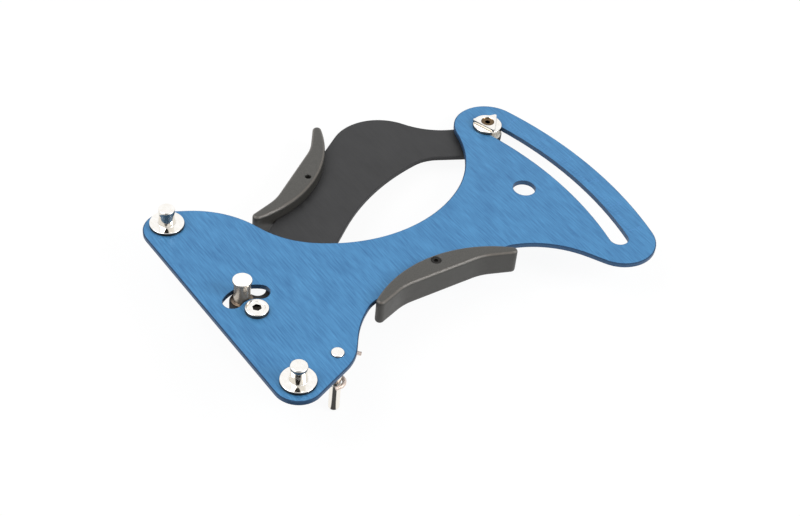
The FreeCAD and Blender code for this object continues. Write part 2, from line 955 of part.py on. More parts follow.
def make_grip(place, seat_discs, seat_bottom, seat_top):
    """A moulded grip with a groove for the plate's edge and a screw hole."""
    half = grip_height / 2
    grip = slab(belt_face(grip_discs()), -half, half)
    grip = grip.makeFillet(grip_edge_radius, rim_edges(grip, (-half, half)))
    screw_spot = (0, grip_screw_depth)
    head_level = half - grip_screw_recess - grip_screw_head_height
    sink_radius = grip_screw_head_radius + running_clearance
    grip = grip.cut(round_bar(screw_spot, sink_radius, head_level, half + cut_overrun))
    reach = half + cut_overrun
    grip = grip.cut(round_bar(screw_spot, grip_screw_hole_radius, -reach, reach))
    grip.Placement = place
    groove = slab(belt_face(grown(seat_discs, groove_clearance)), seat_bottom, seat_top)
    return grip.cut(groove)


def make_grip_screw(place):
    """The small socket-headed screw that holds a grip to its plate."""
    top = grip_height / 2 - grip_screw_recess
    head_level = top - grip_screw_head_height
    spot = (0, grip_screw_depth)
    screw = round_bar(spot, grip_screw_head_radius, head_level, top)
    screw = screw.fuse(
        round_bar(spot, grip_screw_radius, head_level - grip_screw_length, head_level)
    )
    socket_floor = top - grip_screw_socket_depth
    screw = screw.cut(
        hexagon(spot, grip_screw_socket_across, socket_floor, top + cut_overrun)
    )
    screw.Placement = place
    return screw


def make_parts():
    """Every piece of the tool by name."""
    thrust_inner = barrel_neck_radius + running_clearance
    slide_inner = slot_half_width - slot_clearance + running_clearance
    return {
        "face_plate": make_face_plate(),
        "upper_fixed_post": make_fixed_post(upper_post),
        "lower_fixed_post": make_fixed_post(lower_post),
        "spring_post": make_spring_post(),
        "pivot_screw": make_pivot_screw(),
        "pivot_barrel": make_pivot_barrel(),
        "upper_thrust_washer": ring(
            pivot, thrust_inner, thrust_inner + thrust_washer_width, lever_top, plate_bottom
        ),
        "lower_grip": make_grip(
            lower_grip_place(), face_plate_discs(), plate_bottom, 0
        ),
        "lower_grip_screw": make_grip_screw(lower_grip_place()),
        "torsion_spring": make_torsion_spring(),
        "lever_plate": make_lever_plate(),
        "pivot_bush": ring(
            pivot, thrust_inner, thrust_inner + bush_wall, bush_bottom, lever_top
        ),
        "lower_thrust_washer": ring(
            pivot,
            thrust_inner,
            thrust_inner + bush_wall,
            lower_washer_bottom,
            lower_washer_bottom + lower_washer_thickness,
        ),
        "moving_post": make_moving_post(),
        "spring_anchor_pin": make_anchor_pin(anchor_place()),
        "upper_grip": make_grip(
            upper_grip_place(), lever_discs(), lever_bottom, lever_top
        ),
        "upper_grip_screw": make_grip_screw(upper_grip_place()),
        "guide_bush": make_guide_bush(),
        "slide_washer": ring(
            pointer_place,
            slide_inner,
            slide_inner + slide_washer_width,
            lever_top,
            plate_bottom,
        ),
        "pointer": make_pointer(),
        "pointer_screw": make_pointer_screw(),
        "pointer_nut": make_pointer_nut(),
    }


for name, shape in make_parts().items():
    shape.exportStep("parts/" + name + ".step")
    print(name, shape.isValid(), len(shape.Solids), round(shape.Volume, 3))
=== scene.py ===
"""Looks of a spoke tension meter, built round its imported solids.

Sizes are in millimetres in the classes and become metres in the meshes. The
frame's origin lies midway between the two fixed posts on the plate's top, +X
runs along the tool to the pointer and +Z out of the plate.
"""

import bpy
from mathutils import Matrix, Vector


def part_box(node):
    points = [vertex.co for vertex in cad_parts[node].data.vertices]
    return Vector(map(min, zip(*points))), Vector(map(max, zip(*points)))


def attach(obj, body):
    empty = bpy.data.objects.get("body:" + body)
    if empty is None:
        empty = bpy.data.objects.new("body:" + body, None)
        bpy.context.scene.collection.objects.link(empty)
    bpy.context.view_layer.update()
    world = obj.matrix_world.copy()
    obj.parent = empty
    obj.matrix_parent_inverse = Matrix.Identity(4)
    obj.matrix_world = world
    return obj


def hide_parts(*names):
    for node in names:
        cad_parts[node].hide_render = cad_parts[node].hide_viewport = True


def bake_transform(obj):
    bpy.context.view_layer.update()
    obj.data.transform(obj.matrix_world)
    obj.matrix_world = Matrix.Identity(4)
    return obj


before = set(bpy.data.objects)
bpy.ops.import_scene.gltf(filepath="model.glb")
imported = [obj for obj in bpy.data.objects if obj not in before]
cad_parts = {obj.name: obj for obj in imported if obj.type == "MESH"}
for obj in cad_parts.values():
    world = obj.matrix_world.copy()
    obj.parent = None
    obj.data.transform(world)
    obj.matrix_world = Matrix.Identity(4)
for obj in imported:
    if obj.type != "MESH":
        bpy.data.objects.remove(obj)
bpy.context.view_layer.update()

import logging
import math
from collections.abc import Sequence
from dataclasses import dataclass
from enum import Enum

import bmesh
import bpy
from mathutils import Matrix, Vector

LOG = logging.getLogger("spoke_tension_meter")
MM = 0.001
SHARP_ANGLE = math.radians(35)
WHITE = (1.0, 1.0, 1.0, 1.0)

Point = tuple[float, float]
Socket = bpy.types.NodeSocket
Mesh = bpy.types.Mesh
Material = bpy.types.Material
Object = bpy.types.Object


class Body(Enum):
    """The two bodies that the pivot joins."""

    FRAME = "frame"
    LEVER = "lever"


class Slot(Enum):
    """Names of material slots, one given with each new piece."""

    STEEL = "bright_steel"
    SPRING = "spring_steel"
    DARK_SCREW = "dark_screw"
    PLATE = "blue_plate"


def linear(hex_colour: str) -> tuple[float, float, float, float]:
    """Turns an sRGB hex colour into Blender's linear colour.

    Args:
        hex_colour: Six hex digits after a hash sign.

    Returns:
        Linear red, green and blue, and an alpha of one.
    """
    channels = [int(hex_colour[i : i + 2], 16) / 255 for i in (1, 3, 5)]
    made = [c / 12.92 if c <= 0.04045 else ((c + 0.055) / 1.055) ** 2.4 for c in channels]
    return (made[0], made[1], made[2], 1.0)


def around(middle: Sequence[float], radius: float, angle: float) -> Point:
    """The point at a radius and an angle in radians about a middle."""
    return middle[0] + radius * math.cos(angle), middle[1] + radius * math.sin(angle)


class Graph:
    """A node tree that is being built."""

    def __init__(self, tree: bpy.types.NodeTree) -> None:
        """Takes the tree that its nodes go into."""
        self.tree = tree

    def add(
        self,
        kind: str,
        *values: object,
        named: dict[str | int, object] | None = None,
        **settings: object,
    ) -> bpy.types.bpy_prop_collection:
        """Adds a node, sets it and links its inputs.

        Args:
            kind: The node's type name.
            values: What its first inputs get: a value, a socket to link, or None.
            named: What other inputs get, by name or number.
            settings: Properties of the node by name.

        Returns:
            The node's outputs.
        """
        node = self.tree.nodes.new(kind)
        for name, value in settings.items():
            setattr(node, name, value)
        for key, value in [*enumerate(values), *(named or {}).items()]:
            if isinstance(value, Socket):
                self.tree.links.new(value, node.inputs[key])
            elif value is not None:
                node.inputs[key].default_value = value
        return node.outputs


class Skin(Graph):
    """A material that is being built, and the shares that its colours go by."""

    def __init__(self, name: str, **uniform: object) -> None:
        """Starts a material with a Principled shader.

        Args:
            name: The material's name.
            uniform: What is the same all over, by the shader's socket.
        """
        self.material = bpy.data.materials.new(name)
        self.material.use_nodes = True
        super().__init__(self.material.node_tree)
        self.tree.nodes.clear()
        self.shader = self.tree.nodes.new("ShaderNodeBsdfPrincipled")
        for socket, value in uniform.items():
            self.shader.inputs[socket].default_value = value

    def blend(self, share: Socket | float, first: str | Socket, second: str | Socket) -> Socket:
        """Mixes two colours, hex or sockets, by the share of the second that shows."""
        given = [linear(c) if isinstance(c, str) else c for c in (first, second)]
        return self.add("ShaderNodeMix", share, named=dict(zip((6, 7), given)), data_type="RGBA")[2]

    def spread(self, noise: Socket, low: float, high: float) -> Socket:
        """Maps a noise, which mostly lies between 0.3 and 0.7, onto a span of numbers."""
        return self.add("ShaderNodeMapRange", noise, 0.3, 0.7, low, high)[0]

    def upright(self) -> Socket:
        """The Z of the face's direction: 1 on top, 0 on a wall and -1 beneath."""
        normal = self.add("ShaderNodeNewGeometry")["Normal"]
        return self.add("ShaderNodeSeparateXYZ", normal)[2]

    def wall(self) -> Socket:
        """How steep a face stands, from 0 on a flat face to 1 on a wall."""
        level = self.add("ShaderNodeMath", self.upright(), operation="ABSOLUTE")[0]
        return self.add("ShaderNodeMapRange", level, 0.6, 0.25)[0]

    def ridge(self) -> Socket:
        """How much a face belongs to the rounding between a flat top and a wall."""
        height = self.upright()
        off_top = self.add("ShaderNodeMapRange", height, 0.97, 0.86)[0]
        off_wall = self.add("ShaderNodeMapRange", height, 0.35, 0.62)[0]
        return self.add("ShaderNodeMath", off_top, off_wall, operation="MULTIPLY")[0]

    def recess(self, reach: float, most: float) -> Socket:
        """The share of painted shade, up to `most`, from walls within a reach in millimetres."""
        shade = self.add("ShaderNodeAmbientOcclusion", None, reach * MM, samples=8)["AO"]
        return self.add("ShaderNodeMapRange", shade, 0.75, 0.2, 0.0, most)[0]

    def axis_parts(self, middle: Point) -> tuple[Socket, Socket, Socket]:
        """Places about an upright axis.

        Args:
            middle: The axis, in millimetres.

        Returns:
            The place from the axis, the distance from it and the height.
        """
        shift = (-middle[0] * MM, -middle[1] * MM, 0.0)
        place = self.add("ShaderNodeTexCoord")["Object"]
        centred = self.add("ShaderNodeMapping", place, shift)[0]
        parts = self.add("ShaderNodeSeparateXYZ", centred)
        flat = self.add("ShaderNodeCombineXYZ", parts[0], parts[1])[0]
        radius = self.add("ShaderNodeVectorMath", flat, operation="LENGTH")["Value"]
        return centred, radius, parts[2]

    def finish(
        self, colour: Socket, rough: Socket, relief: Socket, strength: float, depth: float,
        normal: Socket | None = None,
    ) -> Material:
        """Links a colour, a roughness and a relief to the shader.

        Args:
            colour: The surface's colour.
            rough: Its roughness.
            relief: Its relief, from 0 to 1.
            strength: How much of the relief shows.
            depth: The relief's height in millimetres.
            normal: The direction that the relief starts from.

        Returns:
            The finished material.
        """
        given = {"Strength": strength, "Distance": depth * MM, "Height": relief, "Normal": normal}
        bump = self.add("ShaderNodeBump", named=given)[0]
        for name, socket in (("Base Color", colour), ("Roughness", rough), ("Normal", bump)):
            self.tree.links.new(socket, self.shader.inputs[name])
        self.add("ShaderNodeOutputMaterial", self.shader.outputs[0])
        return self.material


@dataclass(frozen=True)
class Grain:
    """A streaky pattern: its streaks' width and length along Y in millimetres."""

    width: float
    length: float
    detail: float = 3.0
    roughness: float = 0.6

    def on(self, skin: Skin) -> Socket:
        """Adds the pattern to a material.

        Args:
            skin: The material.

        Returns:
            The socket that gives the pattern from 0 to 1.
        """
        place = skin.add("ShaderNodeTexCoord")["Object"]
        size = (self.width * MM, self.length * MM, self.width * MM)
        stretched = skin.add(
            "ShaderNodeMapping", place, named={"Scale": size}, vector_type="TEXTURE"
        )[0]
        given = {"Scale": 1.0, "Detail": self.detail, "Roughness": self.roughness}
        return skin.add("ShaderNodeTexNoise", stretched, named=given)["Fac"]


@dataclass(frozen=True)
class Zone:
    """A ring about a piece's axis, between two levels, drawn in another tone, often painted shade.
    """

    tone: str
    inner: float
    outer: float
    bottom: float
    top: float
    soft: float = 0.12

    def share(self, skin: Skin, radius: Socket, height: Socket) -> Socket | float:
        """How much of the zone's tone a spot shows.

        Args:
            skin: The material.
            radius: The spot's distance from the axis.
            height: The spot's height.

        Returns:
            The socket that gives the share.
        """
        share: Socket | float = 1.0
        for value, edge, soft in (
            (radius, self.inner, self.soft),
            (radius, self.outer, -self.soft),
            (height, self.bottom, self.soft),
            (height, self.top, -self.soft),
        ):
            limits = ((edge - soft) * MM, (edge + soft) * MM)
            step = skin.add("ShaderNodeMapRange", value, *limits)[0]
            share = skin.add("ShaderNodeMath", share, step, operation="MULTIPLY")[0]
        return share


@dataclass(frozen=True)
class BrushedAnodisedAluminium:
    """Sheet aluminium, linished along Y and then dyed in its anodic film.

    The eye sees long fine streaks under an even satin film, with painted shade: an edge-tone
    line on the rounded edges, darker walls, and a dark line where a piece sits on it.
    Real brush lines are finer than a pixel, so they are drawn wider here.
    """

    name: str
    dark: str
    light: str
    # Tones of painted shade: the edge line, the walls, and spots near other pieces.
    edge: str
    side: str
    contact: str
    metallic: float
    roughness: float
    relief: float
    relief_depth: float = 0.02
    cloudiness: float = 0.3
    fade: float = 0.7
    streaks: Grain = Grain(0.6, 9.0)
    clouds: Grain = Grain(9.0, 14.0, 2.0)
    edge_width: float = 0.45
    edge_roughness: float = 0.75
    # How far and how strongly the painted shade near other pieces reaches.
    grime_reach: float = 0.9
    grime: float = 0.75

    def build(self) -> Material:
        """Makes the material."""
        skin = Skin(self.name, Metallic=self.metallic, Anisotropic=0.3)
        streaks = self.streaks.on(skin)
        both = skin.add("ShaderNodeMix", self.cloudiness, None, streaks, self.clouds.on(skin))[0]
        colour = skin.blend(skin.spread(both, 0.0, 1.0), self.dark, self.light)
        # Painted shade: the rounded edges are drawn in the edge tone.
        soft = skin.add("ShaderNodeBevel", self.edge_width * MM, samples=4)[0]
        sharp = skin.add("ShaderNodeNewGeometry")["Normal"]
        match = skin.add("ShaderNodeVectorMath", soft, sharp, operation="DOT_PRODUCT")["Value"]
        rim = skin.add("ShaderNodeMapRange", match, 0.995, 0.9, 0.0, 0.9)[0]
        rim = skin.add("ShaderNodeMath", rim, skin.ridge(), operation="MAXIMUM")[0]
        colour = skin.blend(rim, colour, self.edge)
        # Painted shade: the walls are drawn in the darker side tone.
        colour = skin.blend(skin.wall(), colour, self.side)
        # Painted shade: spots near other pieces, as under a flange, go towards the shade tone.
        colour = skin.blend(skin.recess(self.grime_reach, self.grime), colour, self.contact)
        # Painted reflection: glossy rays see the plate darker, towards the shade tone.
        mirrored = skin.add("ShaderNodeLightPath")["Is Glossy Ray"]
        faded = skin.add("ShaderNodeMath", mirrored, self.fade, operation="MULTIPLY")[0]
        colour = skin.blend(faded, colour, self.contact)
        rough = skin.spread(streaks, self.roughness - 0.05, self.roughness + 0.07)
        rough = skin.add("ShaderNodeMix", rim, None, rough, self.edge_roughness)[0]
        return skin.finish(colour, rough, streaks, self.relief, self.relief_depth)


@dataclass(frozen=True)
class MouldedNylon:
    """Glass-filled nylon from a spark-eroded mould.

    The eye sees a satin skin with a fine stipple, a little paler on its high
    spots and worn smoother along the edges that a hand meets. A painted
    highlight runs along the rounded edges, and painted shade darkens the walls.
    The stipple is drawn coarser than a mould's, so that it shows.
    """

    name: str
    dark: str
    light: str
    # The walls' tone, painted shade.
    side: str
    # The painted highlight's tone on the rounded edges.
    ridge: str
    roughness: float
    rubbed_roughness: float = 0.3
    refraction: float = 1.53
    stipple: float = 0.45
    stipple_height: float = 0.04
    stipple_strength: float = 0.35
    rounding: float = 1.2

    def build(self) -> Material:
        """Makes the material."""
        skin = Skin(self.name, IOR=self.refraction)
        clouds = Grain(6.0, 9.0, 2.0).on(skin)
        pebbles = Grain(self.stipple, self.stipple, 2.0, 0.5).on(skin)
        colour = skin.blend(skin.spread(pebbles, 0.15, 0.85), self.dark, self.light)
        # Painted shade: the walls are drawn in the darker side tone.
        colour = skin.blend(skin.wall(), colour, self.side)
        # The rounded edges get a painted highlight in the ridge tone and a lower roughness.
        rubbed_and_highlight = skin.ridge()
        colour = skin.blend(rubbed_and_highlight, colour, self.ridge)
        worn = skin.add("ShaderNodeBevel", self.rounding * MM, samples=4)[0]
        rough = skin.spread(clouds, self.roughness - 0.05, self.roughness + 0.06)
        rough = skin.add("ShaderNodeMix", rubbed_and_highlight, None, rough, self.rubbed_roughness)[0]
        return skin.finish(
            colour, rough, pebbles, self.stipple_strength, self.stipple_height, worn
        )


@dataclass(frozen=True)
class TurnedNickelledSteel:
    """Free-cutting steel, turned on a lathe and nickel plated.

    The eye sees a warm mirror with faint rings about the piece's own axis, with a painted
    reflection on its walls and painted shade in its hollows.
    """

    name: str
    centre: Point
    colour: str = "#FDFBF8"
    tint: str = "#F5F1EA"
    # The walls' tone: a painted reflection, darker than the tops.
    side: str = "#BBB5AA"
    # Painted shade in hollows and near other pieces: its tone, reach and most.
    grime: str = "#2A2622"
    grime_reach: float = 1.6
    grime_depth: float = 0.95
    metallic: float = 1.0
    roughness: float = 0.16
    ring_pitch: float = 1.7593
    ring_strength: float = 0.12
    ring_depth: float = 0.01
    zones: tuple[Zone, ...] = ()

    def build(self) -> Material:
        """Makes the material."""
        skin = Skin(self.name, Metallic=self.metallic)
        centred, radius, height = skin.axis_parts(self.centre)
        # Real feed marks are too fine to show, so they are drawn this far apart. At
        # a scale of 1 a wave texture's rings are 2 pi / 20 apart.
        pattern = {"Scale": 2 * math.pi / 20 / (self.ring_pitch * MM), "Distortion": 0.4}
        rings = skin.add(
            "ShaderNodeTexWave",
            centred,
            named={**pattern, "Detail": 2.0, "Detail Scale": 2.0},
            wave_type="RINGS",
            rings_direction="Z",
        )["Fac"]
        stain = Grain(1.6, 2.4).on(skin)
        colour = skin.blend(skin.spread(stain, 0.0, 1.0), self.colour, self.tint)
        # Painted reflection: the walls are drawn in the side tone.
        colour = skin.blend(skin.wall(), colour, self.side)
        # Painted shade: hollows and spots near other pieces go towards the dark shade tone.
        colour = skin.blend(skin.recess(self.grime_reach, self.grime_depth), colour, self.grime)
        # Each zone paints a ring in its tone, such as painted shade in a socket.
        for zone in self.zones:
            colour = skin.blend(zone.share(skin, radius, height), colour, zone.tone)
        rough = skin.spread(stain, self.roughness - 0.02, self.roughness + 0.04)
        return skin.finish(colour, rough, rings, self.ring_strength, self.ring_depth)


@dataclass(frozen=True)
class PlainFinish:
    """A small part's finish: a metal or plastic with a fine mottle."""

    name: str
    dark: str
    light: str
    metallic: float
    roughness: float
    mottle: Grain = Grain(0.5, 0.8)
    relief: float = 0.02
    strength: float = 0.3

    def build(self) -> Material:
        """Makes the material."""
        skin = Skin(self.name, Metallic=self.metallic)
        mottle = self.mottle.on(skin)
        colour = skin.blend(skin.spread(mottle, 0.0, 1.0), self.dark, self.light)
        rough = skin.spread(mottle, self.roughness - 0.04, self.roughness + 0.06)
        return skin.finish(colour, rough, mottle, self.strength, self.relief)


def rounded(*corners: tuple[float, ...]) -> list[Point]:
    """Rounds the corners of a turned outline with small arcs.

    Args:
        corners: Each corner's radius, height and, where it is round, its rounding,
            from the axis, up and back to the axis.

    Returns:
        The outline's points as radius and height.
    """
    steps = 4
    points: list[Point] = []
    for index, (radius, height, *rounding) in enumerate(corners):
        here = Vector((radius, height))
        if not rounding or index in (0, len(corners) - 1):
            points.append((here.x, here.y))
            continue
        before, after = Vector(corners[index - 1][:2]), Vector(corners[index + 1][:2])
        room = min((before - here).length, (after - here).length) * 0.49
        reach = min(rounding[0], room)
        start = here + (before - here).normalized() * reach
        end = here + (after - here).normalized() * reach
        for step in range(steps + 1):
            share = step / steps
            bent = start * (1 - share) ** 2 + here * 2 * share * (1 - share) + end * share**2
            points.append((bent.x, bent.y))
    return points


def linked(name: str, data: bpy.types.ID) -> Object:
    """Puts a new object at the scene's origin.

    Args:
        name: The object's name.
        data: Its mesh, text, light or camera.

    Returns:
        The object.
    """
    piece = bpy.data.objects.new(name, data)
    bpy.context.scene.collection.objects.link(piece)
    return piece


def baked(piece: Object, *helpers: Object) -> Mesh:
    """Applies a piece's modifiers and clears the piece and its helpers away.

    Args:
        piece: The piece.
        helpers: Other objects that its modifiers use.

    Returns:
        A plain mesh.
    """
    graph = bpy.context.evaluated_depsgraph_get()
    graph.update()
    mesh = bpy.data.meshes.new_from_object(piece.evaluated_get(graph))
    for leftover in (piece, *helpers):
        bpy.data.objects.remove(leftover)
    return mesh


def plain_mesh(name: str, work: bmesh.types.BMesh) -> Mesh:
    """Turns what was worked on into a mesh.

    Args:
        name: The mesh's name.
        work: What was worked on, which is freed.

    Returns:
        The mesh.
    """
    mesh = bpy.data.meshes.new(name)
    work.to_mesh(mesh)
    work.free()
    return mesh


def turned(name: str, place: Point, outline: Sequence[Point], segments: int = 96) -> Mesh:
    """Turns an outline about an upright axis.

    Args:
        name: The mesh's name.
        place: The axis, in millimetres.
        outline: Radius and height pairs, from the axis back to the axis.
        segments: The steps round the axis.

    Returns:
        A closed mesh in metres.
    """
    work = bmesh.new()
    rings = []
    for radius, height in outline:
        count = segments if radius > 1e-6 else 1
        spots = [around(place, radius, 2 * math.pi * step / segments) for step in range(count)]
        rings.append([work.verts.new((x * MM, y * MM, height * MM)) for x, y in spots])
    for low, high in zip(rings, rings[1:]):
        for step in range(segments):
            after = (step + 1) % segments
            corners = [low[step % len(low)], low[after % len(low)]]
            corners += [high[after % len(high)], high[step % len(high)]]
            kept = list(dict.fromkeys(corners))
            if len(kept) > 2:
                work.faces.new(kept)
    bmesh.ops.recalc_face_normals(work, faces=work.faces)
    return plain_mesh(name, work)


def prism(name: str, outline: Sequence[Point], bottom: float, top: float) -> Mesh:
    """Makes an upright prism from an anticlockwise outline.

    Args:
        name: The mesh's name.
        outline: Its corners in millimetres.
        bottom: The lower height.
        top: The upper height.

    Returns:
        A closed mesh in metres.
    """
    work = bmesh.new()
    low, high = [
        [work.verts.new((x * MM, y * MM, level * MM)) for x, y in outline]
        for level in (bottom, top)
    ]
    work.faces.new(list(reversed(low)))
    work.faces.new(high)
    for index in range(len(outline)):
        after = (index + 1) % len(outline)
        work.faces.new([low[index], low[after], high[after], high[index]])
    return plain_mesh(name, work)


def hexagon(centre: Point, across: float, turn: float = 0.0) -> list[Point]:
    """A hexagon's corners, anticlockwise, by its width over the flats and its turn."""
    reach = across / 2 / math.cos(math.pi / 6)
    return [around(centre, reach, math.radians(turn) + 2 * math.pi * i / 6) for i in range(6)]


def cut_away(mesh: Mesh, *tools: Mesh) -> Mesh:
    """Cuts closed meshes out of a mesh.

    Args:
        mesh: The mesh to cut.
        tools: What is taken away.

    Returns:
        The cut mesh.
    """
    piece = linked("cutting", mesh)
    cutters = [linked("cutter", tool) for tool in tools]
    for cutter in cutters:
        modifier = piece.modifiers.new("cut", "BOOLEAN")
        modifier.operation = "DIFFERENCE"
        modifier.solver = "EXACT"
        modifier.object = cutter
    return baked(piece, *cutters)


def bevelled(mesh: Mesh, width: float, segments: int = 2) -> Mesh:
    """Rounds a mesh's sharp edges.

    Args:
        mesh: The mesh.
        width: The rounding in millimetres.
        segments: The steps across each rounding.

    Returns:
        The rounded mesh.
    """
    piece = linked("bevelling", mesh)
    modifier = piece.modifiers.new("round", "BEVEL")
    modifier.width = width * MM
    modifier.segments = segments
    modifier.limit_method = "ANGLE"
    modifier.angle_limit = SHARP_ANGLE
    modifier.use_clamp_overlap = True
    return baked(piece)


def finished(name: str, mesh: Mesh, finish: Material) -> Object:
    """Puts a mesh in the scene, smooth but for its sharp edges.

    Args:
        name: The piece's name.
        mesh: Its mesh, in metres and in place.
        finish: Its material.

    Returns:
        The new object, at the origin.
    """
    mesh.materials.clear()
    mesh.materials.append(finish)
    mesh.shade_smooth()
    mesh.set_sharp_from_angle(angle=SHARP_ANGLE)
    return linked(name, mesh)


def add_piece(
    name: str, mesh: Mesh, finish: Material, body: Body, slot: Slot, *nodes: str
) -> None:
    """Puts a piece in the scene and on its body.

    Args:
        name: The piece's name.
        mesh: Its mesh, in metres and in place.
        finish: Its material.
        body: The body that it moves with.
        slot: Its material slot; not used.
        nodes: The CAD nodes that it stands for.
    """
    piece = finished(name, mesh, finish)
    if nodes:
        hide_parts(*nodes)
    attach(piece, body.value)
    LOG.info("%s rides on %s", piece.name, body.value)


class GeometryGraph(Graph):
    """A Geometry Nodes tree with named inputs that ends in real, dressed geometry."""

    def __init__(self, name: str, inputs: dict[str, str]) -> None:
        """Starts the tree.

        Args:
            name: The tree's name.
            inputs: Each input's kind by its name.
        """
        super().__init__(bpy.data.node_groups.new(name, "GeometryNodeTree"))
        face = self.tree.interface
        for title, kind in inputs.items():
            face.new_socket(title, in_out="INPUT", socket_type="NodeSocket" + kind)
        face.new_socket("Made", in_out="OUTPUT", socket_type="NodeSocketGeometry")
        self.given = self.add("NodeGroupInput")

    def end(self, shape: Socket) -> None:
        """Makes a shape real, dresses it and gives it out.

        Args:
            shape: The shape, or its instances.
        """
        real = self.add("GeometryNodeRealizeInstances", shape)[0]
        dressed = self.add("GeometryNodeSetMaterial", real, None, self.given["Finish"])[0]
        self.add("NodeGroupOutput", dressed)

    def grown(self, start: Mesh, values: dict[str, object]) -> Mesh:
        """Runs the tree on a mesh.

        Args:
            start: The mesh that the tree is given.
            values: What its inputs get, by their names.

        Returns:
            The plain mesh that comes out.
        """
        holder = linked(start.name, start)
        modifier = holder.modifiers.new("grown", "NODES")
        modifier.node_group = self.tree
        for item in self.tree.interface.items_tree:
            if item.in_out == "INPUT" and item.name in values:
                modifier[item.identifier] = values[item.name]
        return baked(holder)


@dataclass(frozen=True)
class Layout:
    """Places and levels that more than one piece is set by."""

    pivot: Point = (5.41, -9.45)
    post_span: float = 90.32
    slot_orbit: float = 140.8
    pointer_angle: float = 18.33
    moving_post_orbit: float = 9.56
    moving_post_angle: float = 91.8
    spring_post: Point = (18.5, -40.8)
    spring_post_radius: float = 2.05
    spring_post_bottom: float = -27.0
    hook_level: float = -14.0
    plate_bottom: float = -2.0
    lever_top: float = -2.8
    lever_bottom: float = -4.8
    post_top: float = 7.9
    moving_post_top: float = 7.2

    def about_pivot(self, radius: float, degrees: float) -> Point:
        """The point at a radius and an angle about the pivot."""
        return around(self.pivot, radius, math.radians(degrees))

    def moving_post(self) -> Point:
        """Where the moving post stands at rest."""
        return self.about_pivot(self.moving_post_orbit, self.moving_post_angle)

    def pointer(self) -> Point:
        """Where the pointer's screw stands at rest."""
        return self.about_pivot(self.slot_orbit, self.pointer_angle)


LAYOUT = Layout()


@dataclass
class SpokePosts:
    """The two fixed posts with their flanges and the capped moving post."""

    flange_radius: float = 6.35
    flange_thickness: float = 1.3
    base_radius: float = 3.2
    waist_radius: float = 2.8
    waist_rounding: float = 2.4
    rim_radius: float = 3.1
    tenon_radius: float = 2.6
    rivet_radius: float = 3.9
    rivet_height: float = 0.9
    edge: float = 0.3
    centre_radius: float = 0.4
    centre_depth: float = 0.12
    moving_radius: float = 3.0
    cap_radius: float = 3.5
    cap_height: float = 1.0
    collar_radius: float = 4.05
    collar_height: float = 0.6
    moving_tenon_radius: float = 2.0
    moving_rivet_radius: float = 3.1
    moving_rivet_height: float = 0.7
    moving_centre_depth: float = 0.1

    def fixed_outline(self) -> list[Point]:
        """The fixed post's outline, from its rivet's foot to its top."""
        bottom, top = LAYOUT.plate_bottom, LAYOUT.post_top
        foot = bottom - self.rivet_height
        return rounded(
            (0, foot), (self.rivet_radius - self.rivet_height / 2, foot, 0.3),
            (self.rivet_radius, bottom), (self.tenon_radius, bottom), (self.tenon_radius, 0),
            (self.flange_radius, 0, 0.12), (self.flange_radius, self.flange_thickness, self.edge),
            (self.base_radius, self.flange_thickness, 0.25),
            (self.waist_radius, (self.flange_thickness + top) / 2, self.waist_rounding),
            (self.rim_radius, top - self.edge * 1.2, 0.2), (self.rim_radius - self.edge, top, 0.2),
            (self.centre_radius, top, 0.2), (0, top - self.centre_depth),
        )

    def moving_outline(self) -> list[Point]:
        """The moving post's outline, from its rivet's foot to its cap."""
        bottom, top = LAYOUT.lever_bottom, LAYOUT.moving_post_top
        foot = bottom - self.moving_rivet_height
        collar_top = LAYOUT.lever_top + self.collar_height
        return rounded(
            (0, foot), (self.moving_rivet_radius - self.moving_rivet_height / 2, foot, 0.2),
            (self.moving_rivet_radius, bottom), (self.moving_tenon_radius, bottom),
            (self.moving_tenon_radius, LAYOUT.lever_top),
            (self.collar_radius, LAYOUT.lever_top, 0.08), (self.collar_radius, collar_top, 0.2),
            (self.moving_radius, collar_top, 0.2),
            (self.moving_radius, top - self.cap_height, 0.05),
            (self.cap_radius, top - self.cap_height, 0.15), (self.cap_radius, top, self.edge),
            (self.centre_radius, top, 0.2), (0, top - self.moving_centre_depth),
        )

    def build(self) -> None:
        """Makes the three posts."""
        half = LAYOUT.post_span / 2
        # Painted shade: the flange's wall is drawn dark grey. Painted reflection: the posts' walls
        # take a light side tone.
        wall = Zone("#6B6862", self.flange_radius - 0.1, 10.0, -0.5, 1.0)
        for side, place in (("upper", (0.0, half)), ("lower", (0.0, -half))):
            name = side + "_spoke_post"
            finish = TurnedNickelledSteel(
                "nickelled_" + name, place, side="#E4DFD6", roughness=0.07, zones=(wall,)
            ).build()
            mesh = turned(name, place, self.fixed_outline())
            add_piece(name, mesh, finish, Body.FRAME, Slot.STEEL, side + "_fixed_post")
        place = LAYOUT.moving_post()
        collar = Zone("#75675A", 0.0, 9.0, -3.2, -1.9)
        # Painted shade: the moving post's walls are drawn in a darker side tone.
        finish = TurnedNickelledSteel(
            "nickelled_moving_post", place, side="#BDB3A6", metallic=0.7, roughness=0.24,
            zones=(collar,),
        ).build()
        name = "sliding_spoke_post"
        mesh = turned(name, place, self.moving_outline())
        add_piece(name, mesh, finish, Body.LEVER, Slot.STEEL, "moving_post")


